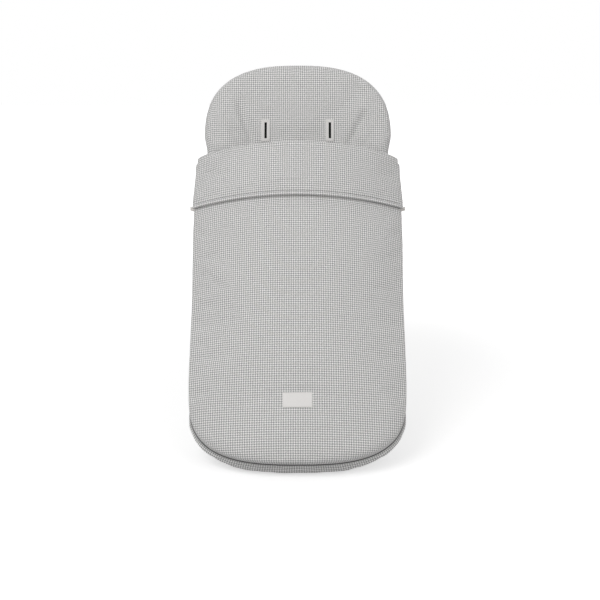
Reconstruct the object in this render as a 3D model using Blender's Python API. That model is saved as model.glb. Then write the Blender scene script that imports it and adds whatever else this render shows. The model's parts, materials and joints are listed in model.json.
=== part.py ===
"""A stroller footmuff: a padded sack that lies on a stroller's seat, in metres, +Z up, front facing -Y.

The mat follows the seat through a knee and a crease and ends in an arched head panel. The front panel is a
shallow dome between two straight side zips. Its toe stays shut, its apron opens about the fold above the
label, and its cuff hangs turned down over the apron's top. The origin lies on the mat's rear face.
"""

import math
from dataclasses import dataclass

import bmesh
import bpy
from mathutils import Matrix, Vector

# Angles of the posture, in degrees from the vertical, and the turns of the joints
RECLINE_DEG = 25.0
SEAT_DEG = 69.5
LEG_DEG = 40.5
APRON_DEG = 35.0

# Mat, along the bent seat
BACKREST_LENGTH = 0.609
SEAT_LENGTH = 0.127
LEG_LENGTH = 0.211
MOUNT_ABOVE_CREASE = 0.2156
KNEE_RADIUS = 0.060
CREASE_RADIUS = 0.080
MAT_THICKNESS = 0.024
FRONT_HALF_WIDTH = 0.2225
FRONT_OVERHANG = 0.018
HEAD_SPREAD = 0.007
MAT_HALF_WIDTH = FRONT_HALF_WIDTH - FRONT_OVERHANG
HEAD_HALF_WIDTH = MAT_HALF_WIDTH + HEAD_SPREAD
HEAD_ARCH = 0.173
FLARE_START = 0.030
HEAD_FLARE = 0.045
MAT_ROLL = 0.020
MAT_HEM = 0.0022
BACKING = 0.0015
SEAM_WIDTH = 0.001
SEAM_DEPTH = 0.0004
SEAM_BELOW_POCKET = 0.0055

# Front panel: toe, apron and cuff
FRONT_LENGTH = 0.6955
FOOT_CURVE = 0.1443
TOE_LENGTH = 0.150
CUFF_DROP = 0.115
DOME_AT_FOOT = 0.0341
DOME_AT_FOLD = 0.0727
FRONT_ROLL = 0.022
FRONT_ROLL_DROP = 0.008
FRONT_HEM = 0.002
FOOT_RISE = 0.042
FOOT_LEAD = 0.0075

# Fabric layers and the clearances between them
FABRIC = 0.0012
LAYER_GAP = 0.0003
PART_GAP = 0.0004
FRONT_WADDING = 0.010
FRONT_WADDING_RIM = 0.004
FLEECE = 0.0015
CUFF_CLEARANCE = 0.001
CUFF_WADDING = 0.006
CUFF_WADDING_RIM = 0.003
CUFF_HEM = 0.010
GUSSET_WADDING = 0.004
GUSSET_TOP = 0.007
GUSSET_LEAST = 0.008
GUSSET_BULGE = 0.004

# Side zips
TAPE = 0.0008
TAPE_SHOWN = 0.0065
TAPE_TUCK = 0.006
APRON_TAPE_TUCK = 0.0018
COIL_WIDTH = 0.002
COIL_THICKNESS = 0.002
COIL_PARTING = 0.0016
ZIP_ABOVE_TOE = 0.0045
STOP_LENGTH = 0.0025
STOP_HALF_WIDTH = 0.0035
SLIDER_LENGTH = 0.012
SLIDER_WIDTH = 0.009
SLIDER_FOOT_WIDTH = 0.007
SLIDER_PLATE = 0.001
SLIDER_CHANNEL = 0.0028
SLIDER_DIVIDER = 0.0035
DIVIDER_WIDTH = 0.001
SLIDER_BELOW_FOLD = 0.007
BRIDGE_WIDTH = 0.003
BRIDGE_BAR = 0.001
BRIDGE_EYE_LENGTH = 0.0044
BRIDGE_EYE_HEIGHT = 0.0026
PULLER_LENGTH = 0.030
PULLER_WIDTH = 0.0085
PULLER_THICKNESS = 0.0013
PULLER_WINDOW = 0.0062
TAB_LENGTH = 0.009
TAB_WIDTH = 0.009
PIPING_RADIUS = 0.0018

# Label, harness slots and head pocket
LABEL_WIDTH = 0.060
LABEL_HEIGHT = 0.031
LABEL_THICKNESS = 0.0008
LABEL_PLACE = 0.129
SLOT_WIDTH = 0.006
SLOT_LENGTH = 0.038
WELT_WIDTH = 0.006
WELT_THICKNESS = 0.0016
SLEEVE = 0.0012
SHOULDER_SLOT_SPREAD = 0.0723
SHOULDER_SLOT_HEIGHT = 0.2377
WAIST_SLOT_SPREAD = 0.125
WAIST_SLOT_ABOVE_CREASE = 0.072
CROTCH_SLOT_SHARE = 0.42
POCKET_DEPTH = 0.125
POCKET_RISE = 0.029
POCKET_ROLL = 0.045
POCKET_WALL = 0.002
POCKET_MARGIN = 0.003
ELASTIC_WIDTH = 0.012
ELASTIC = 0.001
OVERRUN = 0.010

# Powers of the rounded ends: how full the sides and the end of each outline are
SIDE_POWER = 2.6
FOOT_POWER = 2.7
HEAD_POWER = 2.64
CORNER_SHARE = 0.80

# Shapes of the slider and its puller
SLIDER_SHOULDER_SHARE = 1 / 3
SLIDER_TOP_SHARE = 0.8
BRIDGE_PLACE_SHARE = 0.45
PULLER_CORNER_SHARE = 0.5

# Tessellation
FRONT_COLUMNS = 12
APRON_ROWS = 10
CUFF_ROWS = 4
TOE_ROWS = 5
MAT_COLUMNS = 10
MAT_ROWS = 22
POCKET_COLUMNS = 10
POCKET_ROWS = 4
LABEL_COLUMNS = 6
LABEL_ROWS = 3
GUSSET_SIDE_STEPS = 13
GUSSET_CURVE_STEPS = 12
GUSSET_ROW_SHARES = (0.0, 0.0, 0.25, 0.5, 0.75, 1.0)
PIPING_SIDE_STEPS = 2
PIPING_CURVE_STEPS = 16
FOLD_STEPS = 8
HALVINGS = 40
SHARP_DEG = 50.0
ROLL_STEPS = 4
ROLL_TURN_SHARES = (0.0, 0.35, 0.62, 0.84, 1.0)

CHECK = (0.70, 0.70, 0.69, 1.0)
FLEECE_WHITE = (0.82, 0.81, 0.79, 1.0)
PADDING = (0.90, 0.90, 0.90, 1.0)
CREAM = (0.80, 0.78, 0.74, 1.0)
NICKEL = (0.62, 0.62, 0.60, 1.0)
GREY = (0.45, 0.45, 0.46, 1.0)
METAL_SHARE = 1.0
METAL_ROUGHNESS = 0.35
CLOTH_ROUGHNESS = 0.9

# A plate drawn in X and Y turns to stand across a zip, its thickness outward
ACROSS_ZIP = Matrix(((0, 0, 1, 0), (0, 1, 0, 0), (1, 0, 0, 0), (0, 0, 0, 1)))


def heading(degrees):
    """Direction up a line that leans back by this angle, and the front normal beside it."""
    turn = math.radians(degrees)
    along = Vector((0.0, math.sin(turn), math.cos(turn)))
    return along, Vector((0.0, -math.cos(turn), math.sin(turn)))


class BentPath:
    """The mat's front line from the foot to the head: straight runs joined by arcs."""

    def __init__(self):
        knee_turn = SEAT_DEG - LEG_DEG
        crease_turn = RECLINE_DEG - SEAT_DEG
        knee_cut = KNEE_RADIUS * math.tan(math.radians(abs(knee_turn)) / 2)
        crease_cut = CREASE_RADIUS * math.tan(math.radians(abs(crease_turn)) / 2)
        self.runs = [
            (LEG_LENGTH - knee_cut, 0.0),
            (KNEE_RADIUS * math.radians(abs(knee_turn)), knee_turn),
            (SEAT_LENGTH - knee_cut - crease_cut, 0.0),
            (CREASE_RADIUS * math.radians(abs(crease_turn)), crease_turn),
            (BACKREST_LENGTH - crease_cut, 0.0),
        ]
        self.length = sum(run for run, _ in self.runs)
        self.mount = self.length - BACKREST_LENGTH + MOUNT_ABOVE_CREASE
        self.knee = self.runs[0][0] + self.runs[1][0]
        self.crease = self.length - self.runs[4][0]
        self.origin = Vector()
        point, front = self.at(self.mount)
        self.origin = front * MAT_THICKNESS - point

    def at(self, distance):
        """Point of the front line and its front normal, at a distance from the foot."""
        point = self.origin.copy()
        angle = LEG_DEG
        for number, (run, turn) in enumerate(self.runs):
            last = number == len(self.runs) - 1
            part = distance if last else min(distance, run)
            if turn:
                angle_here = angle + turn * part / run
                chord_along, _ = heading((angle + angle_here) / 2)
                swing = math.radians(abs(angle_here - angle))
                radius = run / math.radians(abs(turn))
                point += chord_along * 2 * radius * math.sin(swing / 2)
            else:
                angle_here = angle
                point += heading(angle)[0] * part
            distance -= part
            if distance <= 0 or last:
                return point, heading(angle_here)[1]
            angle = angle + turn
        return point, heading(angle)[1]


PATH = BentPath()
APRON_UP, APRON_OUT = heading(APRON_DEG)
FOOT_POINT, _ = PATH.at(0.0)
TOE_POINT = FOOT_POINT + APRON_OUT * FOOT_RISE - APRON_UP * FOOT_LEAD
GUSSET_THICKNESS = FABRIC + GUSSET_WADDING + FLEECE + 2 * LAYER_GAP
DOME_SLOPE = (DOME_AT_FOLD - DOME_AT_FOOT) / FRONT_LENGTH
FRONT_EDGE_DROP = FRONT_ROLL_DROP + FRONT_HEM
GUSSET_DROP = FRONT_EDGE_DROP + 2 * TAPE_SHOWN
TAPE_INSET = FABRIC + LAYER_GAP + TAPE / 2
ZIP_LOW = TOE_LENGTH + ZIP_ABOVE_TOE
CUFF_LOW = FRONT_LENGTH - CUFF_DROP


def mat_point(x, distance, depth):
    """Place at a width, a distance from the foot and a depth behind the mat's front face."""
    point, front = PATH.at(distance)
    return point - front * depth + Vector((x, 0.0, 0.0))


def apron_point(x, s, n):
    """Place in the front panel's frame: across, up from the toe and outward."""
    return TOE_POINT + Vector((x, 0.0, 0.0)) + APRON_UP * s + APRON_OUT * n


def dome_at(x, s):
    """Height of the front panel's dome, which falls away from the middle toward both sides."""
    return -(DOME_AT_FOOT + DOME_SLOPE * s) * (x / FRONT_HALF_WIDTH) ** 2


def smooth(share):
    share = min(max(share, 0.0), 1.0)
    return share * share * (3 - 2 * share)


@dataclass(frozen=True)
class RoundEnd:
    """A rounded end of an outline: where it ends, how far in its curve starts, and how full it is."""

    place: float
    reach: float
    power: float


class Outline:
    """A long outline, the same left and right, whose ends are straight cuts or rounded."""

    def __init__(self, base, low, high, low_end=None, high_end=None):
        self.base = base
        self.low, self.high = low, high
        self.ends = {"low": low_end, "high": high_end}

    def fullness(self, s, inset):
        share = 1.0
        for name, end in self.ends.items():
            if end is None:
                continue
            past = end.place + end.reach - s if name == "low" else s - end.place + end.reach
            if past > 0:
                ratio = min(past / (end.reach - inset), 1.0)
                share *= (1 - ratio**end.power) ** (1 / SIDE_POWER)
        return share

    def half_width(self, s, inset=0.0):
        return (self.base(s) - inset) * self.fullness(s, inset)

    def end_at(self, name, share, inset=0.0):
        """Place of the end edge at a share of the half width from the middle."""
        end = self.ends[name]
        if end is None:
            return self.low if name == "low" else self.high
        bow = (end.reach - inset) * (1 - abs(share) ** SIDE_POWER) ** (1 / end.power)
        return end.place + end.reach - bow if name == "low" else end.place - end.reach + bow

    def corner_share(self, name):
        return CORNER_SHARE if self.ends[name] else 1.0

    def corner_place(self, name, inset):
        return self.end_at(name, self.corner_share(name), inset)

    def edge(self, side, share, inset):
        """Point on one of the four sides, at a share from -1 to 1 across or from 0 to 1 upward."""
        if side in ("low", "high"):
            part = share * self.corner_share(side)
            place = self.end_at(side, part, inset)
            return part * (self.base(place) - inset), place
        start = self.corner_place("low", inset)
        place = start + share * (self.corner_place("high", inset) - start)
        half = self.half_width(place, inset)
        return (-half if side == "left" else half), place

    def inside(self, u, v, inset):
        """Point of the inner field: rows bow like the ends near them and straighten between."""
        _, place = self.edge("right", v, inset)
        span = self.corner_place("high", inset) - self.corner_place("low", inset)
        for name, weight in (("low", v), ("high", 1 - v)):
            end = self.ends[name]
            if end is None:
                continue
            corner = self.corner_share(name)
            bow = self.end_at(name, u * corner, inset) - self.end_at(name, corner, inset)
            fade = max(0.0, 1 - weight * span / min(end.reach * 2, span)) ** 2
            place += bow * fade
        half = self.half_width(self.edge("right", v, inset)[1], inset)
        return u * half, place


@dataclass(frozen=True)
class Roll:
    """The turned edge of a padded panel: its reach inward, its sides, and the hem after it."""

    reach: float
    sides: tuple
    hem: float


RING_ORDER = {
    "low": lambda a, b, c, d: (d, c, b, a),
    "right": lambda a, b, c, d: (a, d, c, b),
    "high": lambda a, b, c, d: (a, b, c, d),
    "left": lambda a, b, c, d: (d, a, b, c),
}


class Panel:
    """A grid over an outline with a ring of rolled edge round some of its sides."""

    def __init__(self, outline, roll, columns, rows):
        self.points = []
        self.faces = []
        self.index = {}
        self.outline, self.roll = outline, roll
        self.columns, self.rows = columns, rows
        for j in range(rows + 1):
            for i in range(columns + 1):
                self.add(i, j, 0, None)
        for j in range(rows):
            for i in range(columns):
                self.quad((i, j, 0), (i + 1, j, 0), (i + 1, j + 1, 0), (i, j + 1, 0))
        for side in roll.sides:
            self.ring(side)

    def add(self, i, j, k, side):
        key = (i, j, k)
        if key not in self.index:
            self.index[key] = len(self.points)
            u = 2 * i / self.columns - 1
            v = j / self.rows
            self.points.append((u, v, k, side))
        return key

    def quad(self, a, b, c, d):
        self.faces.append([self.index[key] for key in (a, b, c, d)])

    def ring(self, side):
        across = side in ("low", "high")
        count = self.columns if across else self.rows
        fixed = 0 if side in ("low", "left") else (self.rows if across else self.columns)
        for step in range(count):
            first = (step, fixed) if across else (fixed, step)
            second = (step + 1, fixed) if across else (fixed, step + 1)
            for k in range(ROLL_STEPS + 1):
                a, b = self.add(*first, k, side), self.add(*second, k, side)
                c, d = self.add(*second, k + 1, side), self.add(*first, k + 1, side)
                self.quad(*RING_ORDER[side](a, b, c, d))

    def plan(self, point, rim):
        """Place in the panel's plane, turn of the roll and drop of the hem, at an inset of the rim."""
        u, v, k, side = point
        reach = self.roll.reach
        if k == 0:
            return self.outline.inside(u, v, reach), 0.0, 0.0
        turn = math.pi / 2 * ROLL_TURN_SHARES[min(k, ROLL_STEPS)]
        inset = reach * (1 - math.sin(turn)) + rim * math.sin(turn)
        share = u if side in ("low", "high") else v
        hem = self.roll.hem if k > ROLL_STEPS else 0.0
        return self.outline.edge(side, share, inset), turn, hem


def new_object(name, mesh, colour, metallic=0.0, roughness=CLOTH_ROUGHNESS):
    """An object with its own material, in the scene."""
    material = bpy.data.materials.new(name)
    material.use_nodes = True
    shader = material.node_tree.nodes["Principled BSDF"]
    shader.inputs["Base Color"].default_value = colour
    shader.inputs["Metallic"].default_value = metallic
    shader.inputs["Roughness"].default_value = roughness
    mesh.materials.append(material)
    item = bpy.data.objects.new(name, mesh)
    bpy.context.scene.collection.objects.link(item)
    return item


def closed_layer(name, count, faces, outer, inner, colour):
    """A closed layer between two places of each vertex, with a rim along the open edges."""
    work = bmesh.new()
    top = [work.verts.new(outer(number)) for number in range(count)]
    bottom = [work.verts.new(inner(number)) for number in range(count)]
    edges = {}
    for quad in faces:
        # One fixed diagonal, so that neighbouring layers bend alike
        for face in (quad[:3], [quad[0], *quad[2:]]):
            work.faces.new([top[number] for number in face])
            work.faces.new([bottom[number] for number in reversed(face)])
        for a, b in zip(quad, quad[1:] + quad[:1]):
            edges[(a, b)] = True
    for a, b in edges:
        if (b, a) not in edges:
            work.faces.new([top[b], top[a], bottom[a], bottom[b]])
    bmesh.ops.recalc_face_normals(work, faces=work.faces)
    mesh = bpy.data.meshes.new(name)
    work.to_mesh(mesh)
    work.free()
    mesh.shade_smooth()
    mesh.set_sharp_from_angle(angle=math.radians(SHARP_DEG))
    return new_object(name, mesh, colour)


def panel_layer(name, panel, place, outer, inner, colour):
    """A layer of a panel between two depths, each given for its middle and for its rim."""

    def at(depth):
        middle, rim = depth

        def corner(number):
            point = panel.points[number]
            (x, s), turn, hem = panel.plan(point, rim)
            (x_ref, s_ref), _, _ = panel.plan(point, 0.0)
            return place(x, s, x_ref, s_ref, turn, hem, middle)

        return corner

    return closed_layer(name, len(panel.points), panel.faces, at(outer), at(inner), colour)


def front_place(x, s, x_ref, s_ref, turn, hem, depth):
    """Place on the front panel: the dome, the padding's depth and the rolled side."""
    drop = max(FRONT_ROLL_DROP, depth)
    fall = depth * math.cos(turn) + drop * (1 - math.cos(turn))
    if hem:
        fall += max(FRONT_ROLL_DROP + hem - drop, LAYER_GAP)
    return apron_point(x, s, dome_at(x_ref, s_ref) - fall)


def mat_place(x, s, x_ref, s_ref, turn, hem, depth):
    """Place on the mat: depth behind its front face, falling round the rolled edge."""
    drop = (MAT_THICKNESS - BACKING - 2 * LAYER_GAP - MAT_HEM) * (1 - math.cos(turn))
    return mat_point(x, s, depth * math.cos(turn) + drop + hem)


def mat_flat_place(x, s, x_ref, s_ref, turn, hem, depth):
    """Place on a flat layer behind the mat, which has no roll."""
    return mat_point(x, s, depth)


def front_layers():
    """Depths of the front panel's shell, wadding and lining at the middle and at the rim."""
    shell = ((0.0, 0.0), (FABRIC, FABRIC))
    start = FABRIC + LAYER_GAP
    rim_start = start + TAPE + LAYER_GAP
    wadding = ((start, rim_start), (start + FRONT_WADDING, rim_start + FRONT_WADDING_RIM))
    fleece_start = (wadding[1][0] + LAYER_GAP, wadding[1][1] + LAYER_GAP)
    lining = (fleece_start, (fleece_start[0] + FLEECE, fleece_start[1] + FLEECE))
    return shell, wadding, lining


def cuff_layers():
    """Outward depths of the cuff's under shell, wadding and facing, from the apron outward."""
    start = CUFF_CLEARANCE
    shell = ((start, start), (start + FABRIC, start + FABRIC))
    middle = start + FABRIC + LAYER_GAP
    rim = middle + TAPE + LAYER_GAP
    wadding = ((middle, rim), (middle + CUFF_WADDING, rim + CUFF_WADDING_RIM))
    outer = (wadding[1][0] + LAYER_GAP, wadding[1][1] + LAYER_GAP)
    facing = (outer, (outer[0] + FABRIC, outer[1] + FABRIC))
    return shell, wadding, facing


def flipped(depths):
    """Outward depths as the negative depths that the panel's layers are built with."""
    near, far = depths
    return (-far[0], -far[1]), (-near[0], -near[1])


def straight_front(low, high, rows, columns=FRONT_COLUMNS):
    """Panel over a straight stretch of the front, rolled at its two sides."""
    outline = Outline(lambda s: FRONT_HALF_WIDTH, low, high)
    return Panel(outline, Roll(FRONT_ROLL, ("left", "right"), FRONT_HEM), columns, rows)


def toe_outline(top):
    end = RoundEnd(0.0, FOOT_CURVE, FOOT_POWER)
    return Outline(lambda s: FRONT_HALF_WIDTH, 0.0, top, low_end=end)


def mat_width(s):
    """The mat's half width: narrow between the gussets and wider from the fold to the head."""
    rise = smooth((s - FOLD_ON_MAT - FLARE_START) / HEAD_FLARE)
    return MAT_HALF_WIDTH + (HEAD_HALF_WIDTH - MAT_HALF_WIDTH) * rise


def mat_station(s):
    """Distance along the mat whose rear face lies level with a place up the front panel."""
    low, high = -MAT_THICKNESS, PATH.length
    for _ in range(HALVINGS):
        middle = (low + high) / 2
        if (mat_point(0.0, middle, MAT_THICKNESS) - TOE_POINT).dot(APRON_UP) < s:
            low = middle
        else:
            high = middle
    return (low + high) / 2


FOLD_ON_MAT = mat_station(FRONT_LENGTH)
MAT_FOOT_REACH = mat_station(FOOT_CURVE)


def mat_outline():
    """The mat's outline along its bent length, with a U foot and an arched head."""
    return Outline(
        mat_width,
        0.0,
        PATH.length,
        low_end=RoundEnd(0.0, MAT_FOOT_REACH, FOOT_POWER),
        high_end=RoundEnd(PATH.length, HEAD_ARCH, HEAD_POWER),
    )


def box_object(name, low, high, frame, colour):
    """A closed box between two corners, placed by a frame."""
    mesh = bpy.data.meshes.new(name)
    work = bmesh.new()
    bmesh.ops.create_cube(work, size=1.0)
    centre = (low + high) / 2
    for corner in work.verts:
        corner.co = Vector(
            centre[axis] + corner.co[axis] * (high[axis] - low[axis]) for axis in range(3)
        )
    work.to_mesh(mesh)
    work.free()
    item = new_object(name, mesh, colour)
    item.matrix_world = frame
    return item


def as_cutter(item):
    item.hide_render = True
    item.display_type = "WIRE"
    return item


def combine(item, other, operation):
    """Boolean with a hidden guide object, by the exact solver."""
    change = item.modifiers.new(operation.title(), "BOOLEAN")
    change.operation = operation
    change.solver = "EXACT"
    change.object = as_cutter(other)


def extruded(name, outline, thickness, colour, window=None):
    """A plate from an outline in its XY plane, extruded along Z, with an optional window."""
    work = bmesh.new()
    loop = [work.verts.new((x, y, 0.0)) for x, y in outline]
    if window:
        inner = [work.verts.new((x, y, 0.0)) for x, y in window]
        edges = [work.edges.new((a, b)) for a, b in zip(loop, loop[1:] + loop[:1])]
        edges += [work.edges.new((a, b)) for a, b in zip(inner, inner[1:] + inner[:1])]
        bmesh.ops.triangle_fill(work, edges=edges, use_beauty=True, use_dissolve=False)
    else:
        work.faces.new(loop)
    lifted = bmesh.ops.extrude_face_region(work, geom=list(work.faces))
    moved = [part for part in lifted["geom"] if isinstance(part, bmesh.types.BMVert)]
    bmesh.ops.translate(work, verts=moved, vec=(0.0, 0.0, thickness))
    bmesh.ops.recalc_face_normals(work, faces=work.faces)
    mesh = bpy.data.meshes.new(name)
    work.to_mesh(mesh)
    work.free()
    if colour == NICKEL:
        return new_object(name, mesh, colour, METAL_SHARE, METAL_ROUGHNESS)
    return new_object(name, mesh, colour)


def axes_frame(origin, x_axis, y_axis, z_axis):
    """A world matrix from an origin and three axes."""
    frame = Matrix((x_axis, y_axis, z_axis)).transposed().to_4x4()
    frame.translation = origin
    return frame


def looped_body(name, loops, colour, ring=True):
    """A closed body through loops of equal count, joined last to first or capped at both ends."""
    work = bmesh.new()
    rows = [[work.verts.new(point) for point in loop] for loop in loops]
    pairs = list(zip(rows, rows[1:]))
    if ring:
        pairs.append((rows[-1], rows[0]))
    for lower, upper in pairs:
        for a in range(len(lower)):
            b = (a + 1) % len(lower)
            work.faces.new([lower[a], lower[b], upper[b], upper[a]])
    if not ring:
        work.faces.new(list(reversed(rows[0])))
        work.faces.new(rows[-1])
    bmesh.ops.recalc_face_normals(work, faces=work.faces)
    mesh = bpy.data.meshes.new(name)
    work.to_mesh(mesh)
    work.free()
    return new_object(name, mesh, colour)


def build_mat():
    """The mat's three layers, as one panel from the foot to the arched head."""
    roll = Roll(MAT_ROLL, ("low", "right", "high", "left"), MAT_HEM)
    panel = Panel(mat_outline(), roll, MAT_COLUMNS, MAT_ROWS)
    back = MAT_THICKNESS - BACKING
    start = FABRIC + LAYER_GAP
    end = back - 2 * LAYER_GAP
    cover = panel_layer("mat_cover", panel, mat_place, (0.0, 0.0), (FABRIC, FABRIC), CHECK)
    wadding = panel_layer(
        "mat_wadding", panel, mat_place, (start, start), (end, MAT_ROLL / 2), PADDING
    )
    flat = Panel(mat_outline(), Roll(MAT_ROLL, roll.sides, 0.0), MAT_COLUMNS, MAT_ROWS)
    backing = flat_backing(flat, back)
    sew_backing(backing)
    return cover, wadding, backing


def without_hem(panel):
    """The panel's points and faces up to the end of its roll."""
    kept = [face for face in panel.faces if max(panel.points[n][2] for n in face) <= ROLL_STEPS]
    used = sorted({number for face in kept for number in face})
    order = {number: place for place, number in enumerate(used)}
    faces = [[order[number] for number in face] for face in kept]
    return [panel.points[number] for number in used], faces


def flat_backing(panel, back):
    """The non-slip backing: a flat fabric layer with the mat's outline."""
    points, faces = without_hem(panel)

    def at(depth):
        def corner(number):
            (x, s), _, _ = panel.plan(points[number], 0.0)
            return mat_point(x, s, depth)

        return corner

    return closed_layer("mat_backing", len(points), faces, at(back), at(MAT_THICKNESS), GREY)


def sew_backing(backing):
    """The sewn groove across the backing, between the shoulder slots and the pocket's mouth."""
    point, front = PATH.at(PATH.length - POCKET_DEPTH - SEAM_BELOW_POCKET)
    side = Vector((1.0, 0.0, 0.0))
    frame = axes_frame(point - front * MAT_THICKNESS, side, front.cross(side), front)
    reach = HEAD_HALF_WIDTH + OVERRUN
    low = Vector((-reach, -SEAM_WIDTH / 2, -OVERRUN))
    high = Vector((reach, SEAM_WIDTH / 2, SEAM_DEPTH))
    combine(backing, box_object("seam_cut", low, high, frame, GREY), "DIFFERENCE")


def slot_places():
    """Name, width place, distance along the mat, and whether the slot lies across."""
    shoulder = PATH.mount + SHOULDER_SLOT_HEIGHT
    waist = PATH.mount - MOUNT_ABOVE_CREASE + WAIST_SLOT_ABOVE_CREASE
    seat = PATH.knee + CROTCH_SLOT_SHARE * (PATH.crease - PATH.runs[3][0] - PATH.knee)
    return [
        ("shoulder_welt_left", -SHOULDER_SLOT_SPREAD, shoulder, False),
        ("shoulder_welt_right", SHOULDER_SLOT_SPREAD, shoulder, False),
        ("waist_welt_left", -WAIST_SLOT_SPREAD, waist, False),
        ("waist_welt_right", WAIST_SLOT_SPREAD, waist, False),
        ("crotch_welt", 0.0, seat, True),
    ]


def slot_frame(x, distance, across):
    """Frame of a slot: X along its width, Y along its length, Z out of the mat's front."""
    point, front = PATH.at(distance)
    side = Vector((1.0, 0.0, 0.0))
    along = front.cross(side)
    origin = point + side * x
    if across:
        return axes_frame(origin, -along, side, front)
    return axes_frame(origin, side, along, front)


def slot_loop(frame, lean, grow, height):
    """A rectangle round a slot, grown outward, at a height over the mat's front face."""
    a, b = SLOT_WIDTH / 2 + grow, SLOT_LENGTH / 2 + grow
    shift = lean * height
    corners = ((-a, -b), (a, -b), (a, b), (-a, b))
    return [frame @ Vector((x + shift, y, height)) for x, y in corners]


def build_slots(layers):
    """Welted frames with a sleeve through the mat, and the cuts that they line."""
    for name, x, distance, across in slot_places():
        frame = slot_frame(x, distance, across)
        upright = frame.to_3x3().inverted() @ Vector((0.0, 0.0, 1.0))
        # The strap of the slot across the seat hangs straight down
        lean = upright.x / upright.z if across else 0.0
        top = LAYER_GAP + WELT_THICKNESS
        steps = (
            (0.0, -MAT_THICKNESS),
            (0.0, top),
            (WELT_WIDTH, top),
            (WELT_WIDTH, LAYER_GAP),
            (SLEEVE, LAYER_GAP),
            (SLEEVE, -MAT_THICKNESS),
        )
        loops = [slot_loop(frame, lean, grow, height) for grow, height in steps]
        looped_body(name, loops, CREAM)
        room = SLEEVE + LAYER_GAP
        ends = (-MAT_THICKNESS - OVERRUN, OVERRUN)
        loops = [slot_loop(frame, lean, room, height) for height in ends]
        cutter = looped_body(name + "_cut", loops, GREY, ring=False)
        for layer in layers:
            combine(layer, cutter, "DIFFERENCE")


def build_front():
    """Toe, apron and cuff, each as shell, wadding and lining."""
    toe_hem = FRONT_HEM + 2 * TAPE_SHOWN - 2 * (PIPING_RADIUS + PART_GAP)
    toe_top = TOE_LENGTH - PART_GAP
    toe_roll = Roll(FRONT_ROLL, ("left", "low", "right"), toe_hem)
    toe = Panel(toe_outline(toe_top), toe_roll, FRONT_COLUMNS, TOE_ROWS)
    apron = straight_front(TOE_LENGTH + PART_GAP, FRONT_LENGTH - PART_GAP, APRON_ROWS)
    names = (("shell", CHECK), ("wadding", PADDING), ("lining", FLEECE_WHITE))
    for (part, colour), (outer, inner) in zip(names, front_layers()):
        panel_layer("toe_" + part, toe, front_place, outer, inner, colour)
        panel_layer("apron_" + part, apron, front_place, outer, inner, colour)
    cuff = straight_front(CUFF_LOW, FRONT_LENGTH - CUFF_CLEARANCE, CUFF_ROWS)
    names = (("shell", CHECK), ("wadding", PADDING), ("facing", CHECK))
    for (part, colour), depths in zip(names, cuff_layers()):
        outer, inner = flipped(depths)
        panel_layer("cuff_" + part, cuff, front_place, outer, inner, colour)


def front_columns():
    """The columns of the straight front from its left rim to its right rim."""
    panel = straight_front(0.0, FRONT_LENGTH, 1)
    ring = range(ROLL_STEPS + 1, 0, -1)
    left = [panel.points[panel.index[(0, 0, k)]] for k in ring]
    middle = [panel.points[panel.index[(i, 0, 0)]] for i in range(FRONT_COLUMNS + 1)]
    right = [panel.points[panel.index[(FRONT_COLUMNS, 0, k)]] for k in reversed(ring)]
    return panel, left + middle + right


def swept_over_front(name, profile, colour):
    """A profile of place, middle depth and rim depth, swept across the front from rim to rim."""
    panel, columns = front_columns()
    loops = []
    for point in columns:
        loop = []
        for s, middle, rim in profile:
            (x, _), turn, hem = panel.plan(point, rim)
            (x_ref, _), _, _ = panel.plan(point, 0.0)
            loop.append(front_place(x, s, x_ref, s, turn, hem, middle))
        loops.append(loop)
    return looped_body(name, loops, colour, ring=False)


def build_fold_and_hem():
    """The padded turn at the cuff's fold, and the hem that wraps the cuff's lower edge."""
    _, _, facing = cuff_layers()
    _, _, lining = front_layers()
    out_middle, out_rim = facing[1]
    in_middle, in_rim = lining[1]
    profile = []
    for step in range(FOLD_STEPS + 1):
        angle = math.pi * step / FOLD_STEPS
        rise, side = math.sin(angle), math.cos(angle)
        middle = -out_middle * side if side > 0 else -in_middle * side
        rim = -out_rim * side if side > 0 else -in_rim * side
        profile.append((FRONT_LENGTH + rise * (out_middle + in_middle) / 2, middle, rim))
    swept_over_front("fold_roll", profile, CHECK)

    hem_out = LAYER_GAP
    thick = FABRIC
    low = CUFF_LOW - LAYER_GAP
    high = CUFF_LOW + CUFF_HEM
    near = -(CUFF_CLEARANCE + FABRIC + TAPE + 2 * LAYER_GAP)
    far, far_rim = -(out_middle + hem_out), -(out_rim + hem_out)
    profile = [
        (high, far, far_rim),
        (high, far - thick, far_rim - thick),
        (low - thick, far - thick, far_rim - thick),
        (low - thick, near, near),
        (low, near, near),
        (low, far, far_rim),
    ]
    swept_over_front("cuff_hem", profile, CHECK)


def build_label():
    """The bare label, sewn flat on the toe."""
    columns, rows = LABEL_COLUMNS, LABEL_ROWS
    count = (columns + 1) * (rows + 1)
    faces = []
    for j in range(rows):
        for i in range(columns):
            a = j * (columns + 1) + i
            faces.append([a, a + 1, a + columns + 2, a + columns + 1])

    def at(lift):
        def corner(number):
            x = LABEL_WIDTH * ((number % (columns + 1)) / columns - 1 / 2)
            s = LABEL_PLACE + LABEL_HEIGHT * ((number // (columns + 1)) / rows - 1 / 2)
            return apron_point(x, s, dome_at(x, s) + lift)

        return corner

    start = LAYER_GAP
    closed_layer("label", count, faces, at(start + LABEL_THICKNESS), at(start), CREAM)


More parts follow.
